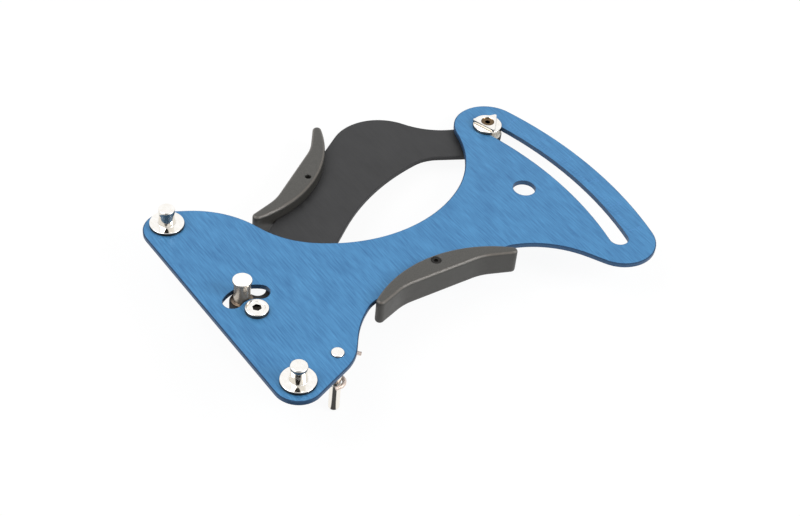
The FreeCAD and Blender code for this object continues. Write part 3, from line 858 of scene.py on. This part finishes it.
@dataclass
class PivotGroup:
    """The pivot screw and the barrel under it that the lever turns on."""

    head_radius: float = 4.25
    head_height: float = 1.7
    dish_radius: float = 2.9
    dish_depth: float = 0.12
    socket_across: float = 3.0
    socket_depth: float = 1.1
    socket_turn: float = 12.0
    shank_radius: float = 2.0
    shank_length: float = 12.0
    neck_radius: float = 2.8
    body_radius: float = 3.3
    flange_radius: float = 4.0
    shoulder: float = -7.9
    flange_top: float = -15.45
    bottom: float = -16.15
    socket_edge: float = 0.07

    def screw_outline(self) -> list[Point]:
        """The screw's outline, from its shank's end to its dished head."""
        dish = self.head_height - self.dish_depth
        return rounded(
            (0, -self.shank_length), (self.shank_radius, -self.shank_length, 0.4),
            (self.shank_radius, 0), (self.head_radius, 0, 0.1),
            (self.head_radius, self.head_height, 0.45), (self.dish_radius, self.head_height, 0.12),
            (self.dish_radius - self.dish_depth, dish, 0.1), (0, dish),
        )

    def barrel_outline(self) -> list[Point]:
        """The barrel's outline, from its closed end up to the plate."""
        return rounded(
            (0, self.bottom), (self.flange_radius, self.bottom, 0.25),
            (self.flange_radius, self.flange_top, 0.12), (self.body_radius, self.flange_top),
            (self.body_radius, self.shoulder, 0.1), (self.neck_radius, self.shoulder),
            (self.neck_radius, LAYOUT.plate_bottom), (0, LAYOUT.plate_bottom),
        )

    def build(self) -> None:
        """Makes the screw and the barrel."""
        place = LAYOUT.pivot
        # Painted shade: the hex socket is drawn near black and the head's wall dark grey.
        socket = Zone("#2B2824", 0.0, 1.95, 0.0, 1.4)
        wall = Zone("#8A867E", self.head_radius - 0.15, 9.0, -0.5, 1.25)
        finish = TurnedNickelledSteel("nickelled_pivot", place, zones=(socket, wall)).build()
        corners = hexagon(place, self.socket_across, self.socket_turn)
        floor = self.head_height - self.socket_depth
        hollow = prism("socket", corners, floor, self.head_height + 1)
        screw = cut_away(turned("pivot", place, self.screw_outline()), hollow)
        screw = bevelled(screw, self.socket_edge)
        add_piece("pivot_button_screw", screw, finish, Body.FRAME, Slot.STEEL, "pivot_screw")
        barrel = turned("barrel", place, self.barrel_outline())
        add_piece("turned_barrel", barrel, finish, Body.FRAME, Slot.STEEL, "pivot_barrel")


@dataclass
class TorsionSpring:
    """The wound wire that pushes the lever open, with its hook and two legs."""

    wire_radius: float = 0.75
    wire_sides: int = 20
    coil_radius: float = 4.4
    coil_top: float = -8.75
    coil_bottom: float = -14.55
    whole_turns: int = 2
    hook_clearance: float = 0.25
    hook_end_angle: float = -95.0
    lead: float = 7.0
    jog: float = 15.0
    tip_reach: float = 37.8
    tip_angle: float = -28.9
    tip_level: float = -22.5
    hook_steps: int = 24
    run_steps: int = 60
    coil_steps: int = 120
    leg_steps: int = 30
    bend_start: tuple[float, float, float] = (0.0, 0.0, -5.6)
    bend_end: tuple[float, float, float] = (0.0, 1.35, -10.1)

    def tangent(self, first: Sequence[float], second: Sequence[float]) -> tuple[Vector, Vector]:
        """The straight that leaves one disc and joins the next.

        Args:
            first: A disc's middle and radius, negative where it turns clockwise.
            second: The next disc.

        Returns:
            The straight's two ends.
        """
        across = Vector((second[0] - first[0], second[1] - first[1]))
        heading = math.atan2(across.y, across.x) - math.asin((second[2] - first[2]) / across.length)
        side = Vector((-math.sin(heading), math.cos(heading)))
        return Vector(first[:2]) - side * first[2], Vector(second[:2]) - side * second[2]

    def middle_line(self) -> list[Vector]:
        """The wire's middle line, from the hook's open end to the tip."""
        post, pivot, level = LAYOUT.spring_post, LAYOUT.pivot, LAYOUT.hook_level
        turn = LAYOUT.spring_post_radius + self.hook_clearance + self.wire_radius
        coil = (*pivot, -self.coil_radius)
        tip = LAYOUT.about_pivot(self.tip_reach, self.tip_angle)
        leave, join = self.tangent((*post, turn), coil)
        exit_point, tip_point = self.tangent(coil, (*tip, 0.0))
        start = math.radians(self.hook_end_angle)
        end = math.atan2(leave.y - post[1], leave.x - post[0])
        end += 2 * math.pi if end < start else 0
        back = Vector((-math.sin(start), math.cos(start))) * (2 * self.wire_radius)
        first = Vector(around(post, turn, start))
        points = [Vector((*(first - back * share), level)) for share in (1.0, 0.5)]
        for step in range(self.hook_steps + 1):
            angle = start + (end - start) * step / self.hook_steps
            points.append(Vector((*around(post, turn, angle), level)))
        run = join - leave
        jog_start = run.length - self.lead - self.jog
        for step in range(1, self.run_steps + 1):
            along = run.length * step / self.run_steps
            share = min(1.0, max(0.0, (along - jog_start) / self.jog))
            lift = 2 * share**2 if share < 0.5 else 1 - 2 * (1 - share) ** 2
            height = level + (self.coil_top - level) * lift
            points.append(Vector((*(leave + run.normalized() * along), height)))
        wound = math.atan2(join.y - pivot[1], join.x - pivot[0])
        last = math.atan2(exit_point.y - pivot[1], exit_point.x - pivot[0])
        sweep = (wound - last) % (2 * math.pi) + 2 * math.pi * self.whole_turns
        for step in range(1, self.coil_steps + 1):
            share = step / self.coil_steps
            height = self.coil_top + (self.coil_bottom - self.coil_top) * share
            spot = around(pivot, self.coil_radius, wound - sweep * share)
            points.append(Vector((*spot, height)))
        for step in range(1, self.leg_steps + 1):
            share = step / self.leg_steps
            height = self.coil_bottom + (self.tip_level - self.coil_bottom) * share
            points.append(Vector((*exit_point.lerp(tip_point, share), height)))
        return points

    def wire_tree(self) -> GeometryGraph:
        """The tree that draws a round wire along a line of edges."""
        inputs = {"Line": "Geometry", "Wire radius": "Float", "Sides": "Int", "Finish": "Material"}
        tree = GeometryGraph("wire_along_line", inputs)
        curve = tree.add("GeometryNodeMeshToCurve", tree.given["Line"])[0]
        size = {"Resolution": tree.given["Sides"], "Radius": tree.given["Wire radius"]}
        profile = tree.add("GeometryNodeCurvePrimitiveCircle", named=size)[0]
        swept = {"Curve": curve, "Profile Curve": profile, "Fill Caps": True}
        tree.end(tree.add("GeometryNodeCurveToMesh", named=swept)[0])
        return tree

    def build(self) -> None:
        """Makes the spring."""
        finish = PlainFinish(
            "drawn_spring_wire", "#C4B2A6", "#E4D2C6", 0.45, 0.4, Grain(0.3, 2.0), 0.01
        ).build()
        line = bpy.data.meshes.new("spring_line")
        points = [tuple(point * MM) for point in self.middle_line()]
        line.from_pydata(points, [(i, i + 1) for i in range(len(points) - 1)], [])
        values = {"Wire radius": self.wire_radius * MM, "Sides": self.wire_sides}
        mesh = self.wire_tree().grown(line, {**values, "Finish": finish})
        piece = finished("wound_torsion_spring", mesh, finish)
        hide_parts("torsion_spring")
        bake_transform(piece)
        LOG.info("%s bends between the frame and the lever", piece.name)


def middle_of(node: str) -> Point:
    """Finds the upright axis of a turned CAD node.

    Args:
        node: The node's name.

    Returns:
        The middle of its box, in millimetres.
    """
    low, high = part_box(node)
    middle = (low + high) / 2 / MM
    return middle.x, middle.y


@dataclass
class SmallPosts:
    """The spring's post under the plate and the pin on the lever's heel."""

    neck_radius: float = 1.5
    head_radius: float = 2.3
    head_height: float = 0.7
    dimple_radius: float = 1.1
    dimple_depth: float = 0.3
    groove_half: float = 1.05
    groove_depth: float = 0.2
    pin_radius: float = 2.0
    pin_neck_radius: float = 1.4
    pin_bottom: float = -22.0

    def post_outline(self) -> list[Point]:
        """The spring post's outline, from its domed foot to its head."""
        hook, half, depth = LAYOUT.hook_level, self.groove_half, self.groove_depth
        radius, bottom = LAYOUT.spring_post_radius, LAYOUT.spring_post_bottom
        return rounded(
            (0, bottom), (radius, bottom, 1.0), (radius, hook - half),
            (radius - depth, hook - half + depth, 0.1), (radius - depth, hook + half - depth, 0.1),
            (radius, hook + half), (radius, LAYOUT.plate_bottom),
            (self.neck_radius, LAYOUT.plate_bottom), (self.neck_radius, 0),
            (self.head_radius, 0, 0.08), (self.head_radius, self.head_height, 0.35),
            (self.dimple_radius, self.head_height, 0.3), (0, self.head_height - self.dimple_depth),
        )

    def pin_outline(self) -> list[Point]:
        """The heel pin's outline, from its rounded foot to the lever's top."""
        return rounded(
            (0, self.pin_bottom), (self.pin_radius, self.pin_bottom, 0.7),
            (self.pin_radius, LAYOUT.lever_bottom, 0.05),
            (self.pin_neck_radius, LAYOUT.lever_bottom), (self.pin_neck_radius, LAYOUT.lever_top),
            (0, LAYOUT.lever_top),
        )

    def build(self) -> None:
        """Makes the post and the pin."""
        place = LAYOUT.spring_post
        # Painted reflection: the post's walls are drawn in a near-white side tone.
        finish = TurnedNickelledSteel(
            "nickelled_spring_post", place, side="#F6F0E6", roughness=0.08
        ).build()
        mesh = turned("post", place, self.post_outline())
        add_piece("riveted_spring_post", mesh, finish, Body.FRAME, Slot.STEEL, "spring_post")
        place = middle_of("spring_anchor_pin")
        finish = TurnedNickelledSteel("nickelled_heel_pin", place).build()
        mesh = turned("pin", place, self.pin_outline())
        add_piece("heel_pin", mesh, finish, Body.LEVER, Slot.STEEL, "spring_anchor_pin")


@dataclass
class PointerGroup:
    """The pointer with its screw, its nut and the bush that it sits on."""

    flange_radius: float = 5.75
    flange_bottom: float = 0.05
    flange_top: float = 1.3
    body_radius: float = 3.6
    spigot_radius: float = 2.5
    corner_reach: float = 6.4
    corner_radius: float = 0.6
    corner_steps: int = 4
    top: float = 2.6
    recess: float = 0.4
    edge: float = 0.1
    screw_radius: float = 1.5
    head_radius: float = 2.35
    screw_end: float = -7.8
    socket_across: float = 2.0
    socket_depth: float = 0.9
    nut_across: float = 5.5
    nut_bottom: float = -7.2
    nut_slimming: float = 0.97
    nut_edge: float = 0.08
    fit: float = 0.02

    def bush_outline(self) -> list[Point]:
        """The bush's outline, from the lever's underside to its flange."""
        return rounded(
            (0, LAYOUT.lever_bottom), (self.spigot_radius, LAYOUT.lever_bottom),
            (self.spigot_radius, LAYOUT.lever_top), (self.body_radius, LAYOUT.lever_top),
            (self.body_radius, self.flange_bottom), (self.flange_radius, self.flange_bottom, 0.12),
            (self.flange_radius, self.flange_top, 0.25), (0, self.flange_top),
        )

    def screw_outline(self) -> list[Point]:
        """The countersunk screw's outline, from its end to its flat head."""
        head = self.top - self.recess
        return rounded(
            (0, self.screw_end), (self.screw_radius, self.screw_end, 0.35),
            (self.screw_radius, head - (self.head_radius - self.screw_radius)),
            (self.head_radius, head), (0, head),
        )

    def sink_outline(self) -> list[Point]:
        """The outline of what the pointer's countersunk hole takes away."""
        head = self.top - self.recess
        hole, wide = self.screw_radius + self.fit, self.head_radius + self.fit
        return [
            (0.0, self.flange_top - 1),
            (hole, self.flange_top - 1),
            (hole, head - (self.head_radius - self.screw_radius)),
            (wide, head),
            (wide + self.recess + 1, self.top + 1),
            (0.0, self.top + 1),
        ]

    def plate_outline(self) -> list[Point]:
        """The pointer's outline: a triangle with small round corners."""
        inset = self.corner_reach - 2 * self.corner_radius
        quarter = 60 / self.corner_steps
        points = []
        for corner in range(3):
            heading = LAYOUT.pointer_angle + 120 * corner
            middle = around(LAYOUT.pointer(), inset, math.radians(heading))
            for step in range(-self.corner_steps, self.corner_steps + 1):
                turn = math.radians(heading + quarter * step)
                points.append(around(middle, self.corner_radius, turn))
        return points

    def build(self) -> None:
        """Makes the bush, the pointer, its screw and its nut."""
        place = LAYOUT.pointer()
        head = self.top - self.recess
        finish = TurnedNickelledSteel("nickelled_bush", place).build()
        # Painted shade: the countersink is drawn dark brown and the hex socket near black.
        sunk = Zone("#6E5A42", 0.0, self.head_radius + 0.3, 1.0, self.top - 0.1, 0.06)
        socket = Zone("#17120E", 0.0, self.socket_across / 2 + 0.15, 1.0, 2.12, 0.06)
        marked = TurnedNickelledSteel(
            "nickelled_pointer", place, roughness=0.2, zones=(sunk, socket)
        ).build()
        bush = turned("bush", place, self.bush_outline())
        add_piece("flanged_bush", bush, finish, Body.LEVER, Slot.STEEL, "guide_bush")
        plate = prism("pointer", self.plate_outline(), self.flange_top, self.top)
        plate = cut_away(plate, turned("sink", place, self.sink_outline(), 64))
        plate = bevelled(plate, self.edge)
        add_piece("pointer_plate", plate, marked, Body.LEVER, Slot.STEEL, "pointer")
        corners = hexagon(place, self.socket_across)
        hollow = prism("socket", corners, head - self.socket_depth, self.top + 1)
        screw = cut_away(turned("screw", place, self.screw_outline()), hollow)
        add_piece("pointer_flat_screw", screw, marked, Body.LEVER, Slot.STEEL, "pointer_screw")
        add_piece("hex_nut", self.nut(place), finish, Body.LEVER, Slot.STEEL, "pointer_nut")

    def nut(self, place: Point) -> Mesh:
        """Makes the nut with its turned-off corners.

        Args:
            place: The screw's axis.

        Returns:
            The nut's mesh.
        """
        bottom, top = self.nut_bottom, LAYOUT.lever_bottom
        slim = self.nut_across / 2 * self.nut_slimming
        wide = self.nut_across / 2 / math.cos(math.pi / 6) + 2
        hole = self.screw_radius + self.fit
        start = (slim, bottom - 1)
        skirt = [start, (wide, bottom - 1), (wide, bottom + 1), (slim, bottom - 0.1), start]
        bore = [(0, bottom - 1), (hole, bottom - 1), (hole, top + 1), (0, top + 1)]
        nut = cut_away(
            prism("nut", hexagon(place, self.nut_across), bottom, top),
            turned("skirt", place, skirt, 72),
            turned("bore", place, bore, 48),
        )
        return bevelled(nut, self.nut_edge)


@dataclass
class Scale:
    """The faint laser-marked scale beside the pointer's slot."""

    first_angle: float = 16.0
    last_angle: float = -13.0
    ticks: int = 51
    every: int = 10
    inner_radius: float = 146.3
    short: float = 1.5
    tall: float = 2.8
    width: float = 0.22
    lift: float = 0.01
    number_radius: float = 150.9
    number_height: float = 2.3
    number_detail: int = 3

    def ticks_tree(self) -> GeometryGraph:
        """The tree that sets ticks along an arc, each tenth one longer."""
        sizes = ("First angle", "Step", "Radius", "Width", "Short", "Tall", "Lift")
        inputs = {"Count": "Int", "Every": "Int", **dict.fromkeys(sizes, "Float")}
        inputs |= {"Pivot": "Vector", "Finish": "Material"}
        tree = GeometryGraph("ticks_along_arc", inputs)
        given, maths = tree.given, "ShaderNodeMath"
        index = tree.add("GeometryNodeInputIndex")[0]
        turned_on = (given["Step"], given["First angle"])
        angle = tree.add(maths, index, *turned_on, operation="MULTIPLY_ADD")[0]
        rest = tree.add(maths, index, given["Every"], operation="MODULO")[0]
        is_tall = tree.add(maths, rest, 0.5, operation="LESS_THAN")[0]
        extra = tree.add(maths, given["Tall"], given["Short"], operation="SUBTRACT")[0]
        length = tree.add(maths, is_tall, extra, given["Short"], operation="MULTIPLY_ADD")[0]
        middle = tree.add(maths, length, 0.5, given["Radius"], operation="MULTIPLY_ADD")[0]
        spot = []
        for part in ("COSINE", "SINE"):
            share = tree.add(maths, angle, operation=part)[0]
            spot.append(tree.add(maths, share, middle, operation="MULTIPLY")[0])
        flat = tree.add("ShaderNodeCombineXYZ", *spot)[0]
        place = tree.add("ShaderNodeVectorMath", flat, given["Pivot"], operation="ADD")[0]
        bar = {
            "Points": tree.add("GeometryNodePoints", given["Count"], place)[0],
            "Instance": tree.add("GeometryNodeMeshCube", (1.0, 1.0, 1.0))[0],
            "Rotation": tree.add("ShaderNodeCombineXYZ", None, None, angle)[0],
            "Scale": tree.add("ShaderNodeCombineXYZ", length, given["Width"], given["Lift"])[0],
        }
        tree.end(tree.add("GeometryNodeInstanceOnPoints", named=bar)[0])
        return tree

    def number(self, value: int, degrees: float) -> Mesh:
        """Makes one number of the scale.

        Args:
            value: The number.
            degrees: Its angle about the pivot.

        Returns:
            A mesh in place, read from outside the arc.
        """
        text = bpy.data.curves.new("number", "FONT")
        text.body = str(value)
        text.size = self.number_height * MM
        text.extrude = self.lift / 2 * MM
        text.align_x = "CENTER"
        text.align_y = "CENTER"
        text.resolution_u = self.number_detail
        mesh = baked(linked("number", text))
        x, y = LAYOUT.about_pivot(self.number_radius, degrees)
        turn = Matrix.Rotation(math.radians(degrees - 90), 4, "Z")
        mesh.transform(Matrix.Translation((x * MM, y * MM, 0.0)) @ turn)
        return mesh

    def build(self) -> None:
        """Makes the ticks and the plain numbers."""
        finish = PlainFinish("laser_mark", "#3F78AC", "#4A83B6", 0.0, 0.5).build()
        step = (self.last_angle - self.first_angle) / (self.ticks - 1)
        values = {
            "Count": self.ticks,
            "Every": self.every,
            "First angle": math.radians(self.first_angle),
            "Step": math.radians(step),
            "Pivot": (LAYOUT.pivot[0] * MM, LAYOUT.pivot[1] * MM, 0.0),
            "Finish": finish,
        }
        lengths = {"Radius": self.inner_radius, "Width": self.width, "Lift": self.lift}
        lengths |= {"Short": self.short, "Tall": self.tall}
        values |= {title: length * MM for title, length in lengths.items()}
        mesh = self.ticks_tree().grown(bpy.data.meshes.new("ticks"), values)
        add_piece("scale_ticks", mesh, finish, Body.FRAME, Slot.PLATE)
        whole = bmesh.new()
        for number in range(0, self.ticks, self.every):
            whole.from_mesh(self.number(number, self.first_angle + step * number))
        mesh = plain_mesh("numbers", whole)
        add_piece("scale_numbers", mesh, finish, Body.FRAME, Slot.PLATE)


@dataclass
class GripScrews:
    """The small socket screws that hold the two grips."""

    head_radius: float = 1.9
    head_height: float = 1.3
    radius: float = 1.1
    length: float = 7.0
    socket_across: float = 1.5
    socket_depth: float = 0.7

    def outline(self, direction: float, top: float) -> list[Point]:
        """The screw's outline, from its end to its head's face.

        Args:
            direction: 1 where the head is on top, -1 where it is below.
            top: The height of the head's face.

        Returns:
            The outline's points.
        """
        neck = top - direction * self.head_height
        end = neck - direction * self.length
        return rounded(
            (0, end), (self.radius, end, 0.25), (self.radius, neck),
            (self.head_radius, neck, 0.08), (self.head_radius, top, 0.2), (0, top),
        )

    def build(self) -> None:
        """Makes both screws where their solids are."""
        finish = PlainFinish("blackened_screw", "#1D1C1B", "#33312F", 0.8, 0.38).build()
        for node, body, direction in (
            ("lower_grip_screw", Body.FRAME, 1.0),
            ("upper_grip_screw", Body.LEVER, -1.0),
        ):
            low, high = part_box(node)
            place = middle_of(node)
            top = (high.z if direction > 0 else low.z) / MM
            levels = sorted((top - direction * self.socket_depth, top + direction))
            hollow = prism("socket", hexagon(place, self.socket_across), *levels)
            mesh = cut_away(turned(node, place, self.outline(direction, top), 48), hollow)
            add_piece("socket_" + node, mesh, finish, body, Slot.DARK_SCREW, node)


@dataclass
class CarriedOver:
    """The CAD nodes whose shapes stay, with their finishes."""

    def build(self) -> None:
        """Gives each node its material."""
        plate = BrushedAnodisedAluminium(
            "blue_anodised_aluminium", dark="#2F6594", light="#4D8CBB", edge="#1C3C5C",
            side="#2A4A6B", contact="#1D232A", metallic=0.35, roughness=0.42, relief=0.25,
        )
        lever = BrushedAnodisedAluminium(
            "black_anodised_aluminium", dark="#1F1F20", light="#2F2F30", edge="#29292A",
            side="#18181A", contact="#0E0E0E", metallic=0.2, roughness=0.5, relief=0.2,
        )
        nylon = MouldedNylon(
            "moulded_grip_nylon", dark="#33322F", light="#474541", side="#302F2C", ridge="#544F49",
            roughness=0.42,
        )
        brass = PlainFinish("turned_bush_brass", "#9C7A3C", "#C09A55", 1.0, 0.3)
        acetal = PlainFinish("natural_acetal_washer", "#CFCBC0", "#DEDBD2", 0.0, 0.45)
        for kind, names in (
            (plate, ["face_plate"]),
            (lever, ["lever_plate"]),
            (nylon, ["lower_grip", "upper_grip"]),
            (brass, ["pivot_bush"]),
            (acetal, ["upper_thrust_washer", "lower_thrust_washer", "slide_washer"]),
        ):
            finish = kind.build()
            for name in names:
                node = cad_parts[name]
                node.data.materials.clear()
                node.data.materials.append(finish)
                LOG.info("%s wears %s", name, finish.name)


@dataclass
class Studio:
    """The camera, the soft lights, the pale floor and the white surroundings."""

    look_at: tuple[float, float, float] = (64.18, -12.02, 0.0)
    distance: float = 590.0
    azimuth: float = -38.79
    elevation: float = 42.37
    roll: float = 6.14
    focal_pixels: float = 1626.0
    image_width: float = 800.0
    sensor: float = 36.0
    soft_light: float = 0.62
    mirrored_light: float = 1.03
    mirrored_dark: float = 0.02
    dark_front: Point = (0.86, 0.9)
    dark_ahead: Point = (0.72, 0.84)
    dark_ahead_most: float = 0.97
    dark_turn: float = 2.0
    floor_reach: float = 4000.0
    floor_colour: str = "#F4F4F4"
    floor_roughness: float = 0.9
    floor_white_seen: float = 0.93
    floor_white_mirrored: float = 0.95

    def back(self) -> Vector:
        """The unit vector from the tool to the camera."""
        a, e = math.radians(self.azimuth), math.radians(self.elevation)
        return Vector((math.sin(a) * math.cos(e), -math.cos(a) * math.cos(e), math.sin(e)))

    def camera(self) -> None:
        """Sets the camera at the photograph's place."""
        back = self.back()
        turn, roll = math.radians(self.azimuth), math.radians(self.roll)
        right = Vector((math.cos(turn), math.sin(turn), 0.0))
        up = back.cross(right)
        across = right * math.cos(roll) + up * math.sin(roll)
        upward = up * math.cos(roll) - right * math.sin(roll)
        lens = bpy.data.cameras.new("camera")
        lens.sensor_width = self.sensor
        lens.lens = self.focal_pixels / self.image_width * self.sensor
        lens.clip_start, lens.clip_end = 0.01, 20.0
        eye = linked("camera", lens)
        place = Vector(self.look_at) * MM + back * self.distance * MM
        facing = Matrix((across, upward, back)).transposed().to_4x4()
        eye.matrix_world = Matrix.Translation(place) @ facing
        bpy.context.scene.camera = eye

    def lamp(self, name: str, place: Sequence[float], size: float, power: float) -> None:
        """Adds a square soft light that faces the object.

        Args:
            name: The light's name.
            place: Where it hangs, in metres.
            size: Its side in metres.
            power: Its power in watts.
        """
        light = bpy.data.lights.new(name, "AREA")
        light.shape = "SQUARE"
        light.size = size
        light.energy = power
        hung = linked(name, light)
        hung.location = place
        aim = Vector(self.look_at) * MM - Vector(place)
        hung.rotation_mode = "QUATERNION"
        hung.rotation_quaternion = aim.to_track_quat("-Z", "Y")

    def surroundings(self) -> None:
        """White for the camera and for reflections, soft light for the rest.

        What reflections see is white but for the dark front that the camera has.
        """
        world = bpy.data.worlds.new("white_studio")
        bpy.context.scene.world = world
        world.use_nodes = True
        sky = Graph(world.node_tree)
        sky.tree.nodes.clear()
        path = sky.add("ShaderNodeLightPath")
        plain = sky.add("ShaderNodeMix", path["Is Camera Ray"], None, self.soft_light, 1.0)[0]
        way = sky.add("ShaderNodeTexCoord")["Generated"]
        front = (way, tuple(self.back()))
        towards = sky.add("ShaderNodeVectorMath", *front, operation="DOT_PRODUCT")["Value"]
        levels = (*self.dark_front, self.mirrored_light, self.mirrored_dark)
        mirrored = sky.add("ShaderNodeMapRange", towards, *levels)[0]
        shine = sky.add("ShaderNodeMix", path["Is Glossy Ray"], None, plain, mirrored)[0]
        backdrop = sky.add("ShaderNodeBackground", WHITE, shine)[0]
        sky.add("ShaderNodeOutputWorld", backdrop)

    def floor_mesh(self) -> Mesh:
        """The floor's plane, which the tool's three lowest points stand on."""
        feet = [
            Vector((*LAYOUT.spring_post, LAYOUT.spring_post_bottom - 0.05)),
            Vector((139.1, 34.8, -7.9)),
            Vector((77.5, 65.5, -8.55)),
        ]
        normal = (feet[1] - feet[0]).cross(feet[2] - feet[0]).normalized()
        middle = Vector(self.look_at)
        middle.z = feet[0].z - ((middle - feet[0]).xy.dot(normal.xy)) / normal.z
        side = normal.orthogonal().normalized()
        other = normal.cross(side)
        corners = [side * a + other * b for a, b in ((-1, -1), (1, -1), (1, 1), (-1, 1))]
        places = [tuple((middle + corner * self.floor_reach) * MM) for corner in corners]
        mesh = bpy.data.meshes.new("floor")
        mesh.from_pydata(places, [], [(0, 1, 2, 3)])
        return mesh

    def floor(self) -> None:
        """The pale floor, clear from beneath, which keeps the tool's shadow."""
        skin = Skin("pale_floor", Roughness=self.floor_roughness)
        skin.shader.inputs["Base Color"].default_value = linear(self.floor_colour)
        maths = "ShaderNodeMath"
        path = skin.add("ShaderNodeLightPath")
        mirrored = path["Is Glossy Ray"]
        seen = (path["Is Camera Ray"], self.floor_white_seen)
        seen = skin.add(maths, *seen, operation="MULTIPLY")[0]
        share = (mirrored, self.floor_white_mirrored, seen)
        share = skin.add(maths, *share, operation="MULTIPLY_ADD")[0]
        # Painted reflection: glossy rays see a dark patch beside the spring post.
        dark_patch = skin.add(maths, mirrored, self.unlit_side(skin), operation="MULTIPLY")[0]
        lit = skin.add(maths, 1.0, dark_patch, operation="SUBTRACT")[0]
        glow = skin.add("ShaderNodeEmission", WHITE, lit)[0]
        mixed = skin.add("ShaderNodeMixShader", share, skin.shader.outputs[0], glow)[0]
        beneath = skin.add("ShaderNodeNewGeometry")["Backfacing"]
        clear = skin.add("ShaderNodeBsdfTransparent")[0]
        whole = skin.add("ShaderNodeMixShader", beneath, mixed, clear)[0]
        skin.add("ShaderNodeOutputMaterial", whole)
        mesh = self.floor_mesh()
        mesh.materials.append(skin.material)
        plane = linked("floor", mesh)

    def unlit_side(self, skin: Skin) -> Socket:
        """The floor's dark share: a painted dark patch that the bright pins mirror.

        Args:
            skin: The floor's material.

        Returns:
            The socket that gives the share.
        """
        post = LAYOUT.spring_post
        place = skin.add("ShaderNodeTexCoord")["Object"]
        parts = skin.add("ShaderNodeSeparateXYZ", place)
        flat = skin.add("ShaderNodeCombineXYZ", parts[0], parts[1])[0]
        here = (post[0] * MM, post[1] * MM, 0.0)
        away = skin.add("ShaderNodeVectorMath", flat, here, operation="SUBTRACT")[0]
        way = skin.add("ShaderNodeVectorMath", away, operation="NORMALIZE")[0]
        turn = math.radians(self.azimuth - self.dark_turn)
        ahead = (math.sin(turn), -math.cos(turn), 0.0)
        towards = skin.add("ShaderNodeVectorMath", way, ahead, operation="DOT_PRODUCT")["Value"]
        levels = (*self.dark_ahead, 0.0, self.dark_ahead_most)
        return skin.add("ShaderNodeMapRange", towards, *levels)[0]

    def build(self) -> None:
        """Sets the stage."""
        bpy.context.scene.view_settings.view_transform = "Standard"
        self.camera()
        self.surroundings()
        self.floor()
        self.lamp("key_softbox", (-0.55, 0.25, 0.95), 0.8, 8.0)
        self.lamp("edge_softbox", (0.53, -0.69, 0.58), 0.45, 6.0)


def main() -> None:
    """Builds the stage and every piece."""
    logging.basicConfig(level=logging.INFO, format="%(message)s")
    for group in (
        Studio, CarriedOver, SpokePosts, PivotGroup, SmallPosts, TorsionSpring, PointerGroup,
        GripScrews, Scale,
    ):
        group().build()


if __name__ == "__main__":
    main()
